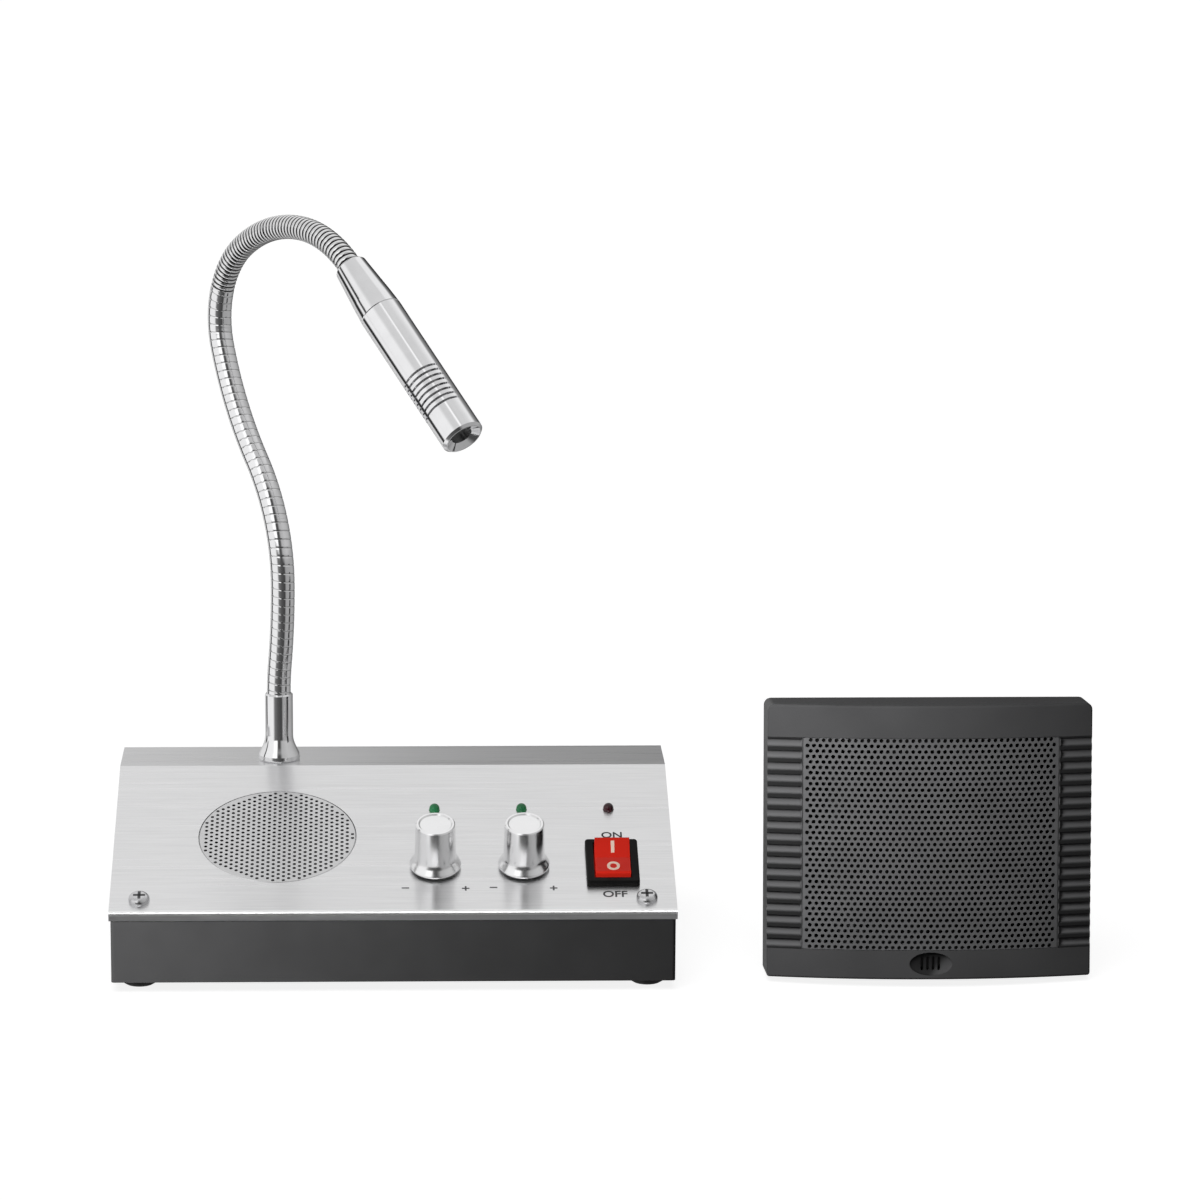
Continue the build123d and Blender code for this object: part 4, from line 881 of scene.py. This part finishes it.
def addFloorSun():
    # soft light for the floor alone, which gives it the object's shadow
    data = bpy.data.lights.new("floorSun", "SUN")
    data.energy, data.angle = light["floorSun"], math.radians(light["sunSpread"])
    lamp = bpy.data.objects.new("floorSun", data)
    bpy.context.scene.collection.objects.link(lamp)
    lamp.rotation_euler = (math.radians(24), math.radians(-10), 0)
    lamp.visible_glossy = False
    lamp.light_linking.receiver_collection = piecesOf("floorAlone", lambda name: name == "floor")


def piecesOf(name, belongs):
    # the pieces that one lamp lights
    group = bpy.data.collections.new(name)
    for piece in bpy.context.scene.objects:
        if piece.type == "MESH" and belongs(piece.name):
            group.objects.link(piece)
    return group


def inWindowUnit(name):
    return name.startswith("window")


def inDeskUnit(name):
    return name != "floor" and not inWindowUnit(name)


setWorld()
addFloor()
addFloorSun()
deskLeft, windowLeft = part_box("base_tray")[0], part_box("window_cover")[0]
lamps = {"keySize": (0.08, 0.05), "deskKey": (-0.06, -0.13, 0.07), "deskPower": 0.43,
         "windowKey": (-0.06, -0.12, 0.15), "windowPower": 0.64, "backPower": 8.0, "foldPower": 2.2}
addLamp("deskKey", Vector((deskLeft[0], lipY, 0)) + Vector(lamps["deskKey"]), (deskLeft[0] + 0.03, lipY, 0.02),
        lamps["keySize"], lamps["deskPower"], piecesOf("deskUnit", inDeskUnit))
addLamp("windowKey", Vector((windowLeft[0], lipY, 0)) + Vector(lamps["windowKey"]),
        (windowLeft[0] + 0.02, lipY, 0.05), lamps["keySize"], lamps["windowPower"],
        piecesOf("windowUnit", inWindowUnit))
addLamp("overFront", (-0.2, -1.1, 1.2), (0, 0, 0.05), (1.0, 0.6), 1)
# a strip of light that the sheet's front fold mirrors
addLamp("foldFront", (deskX, lipY - 1.1, 0.55), (deskX, lipY, 0.025), (0.5, 0.35), lamps["foldPower"],
        piecesOf("foldedSheet", lambda name: name == "top_panel"), True)
# low lamps for the sides and the back, which the front view doesn't see
for side, name, power in [(-1, "backLeft", lamps["backPower"]), (1, "backRight", lamps["backPower"] * 1.1)]:
    addLamp(name, (side * 0.85, 0.95, 0.12), (0, 0.05, 0.04), (0.8, 0.16), power,
            piecesOf(name + "Pieces", lambda piece: piece != "floor"))
print("lamps set")
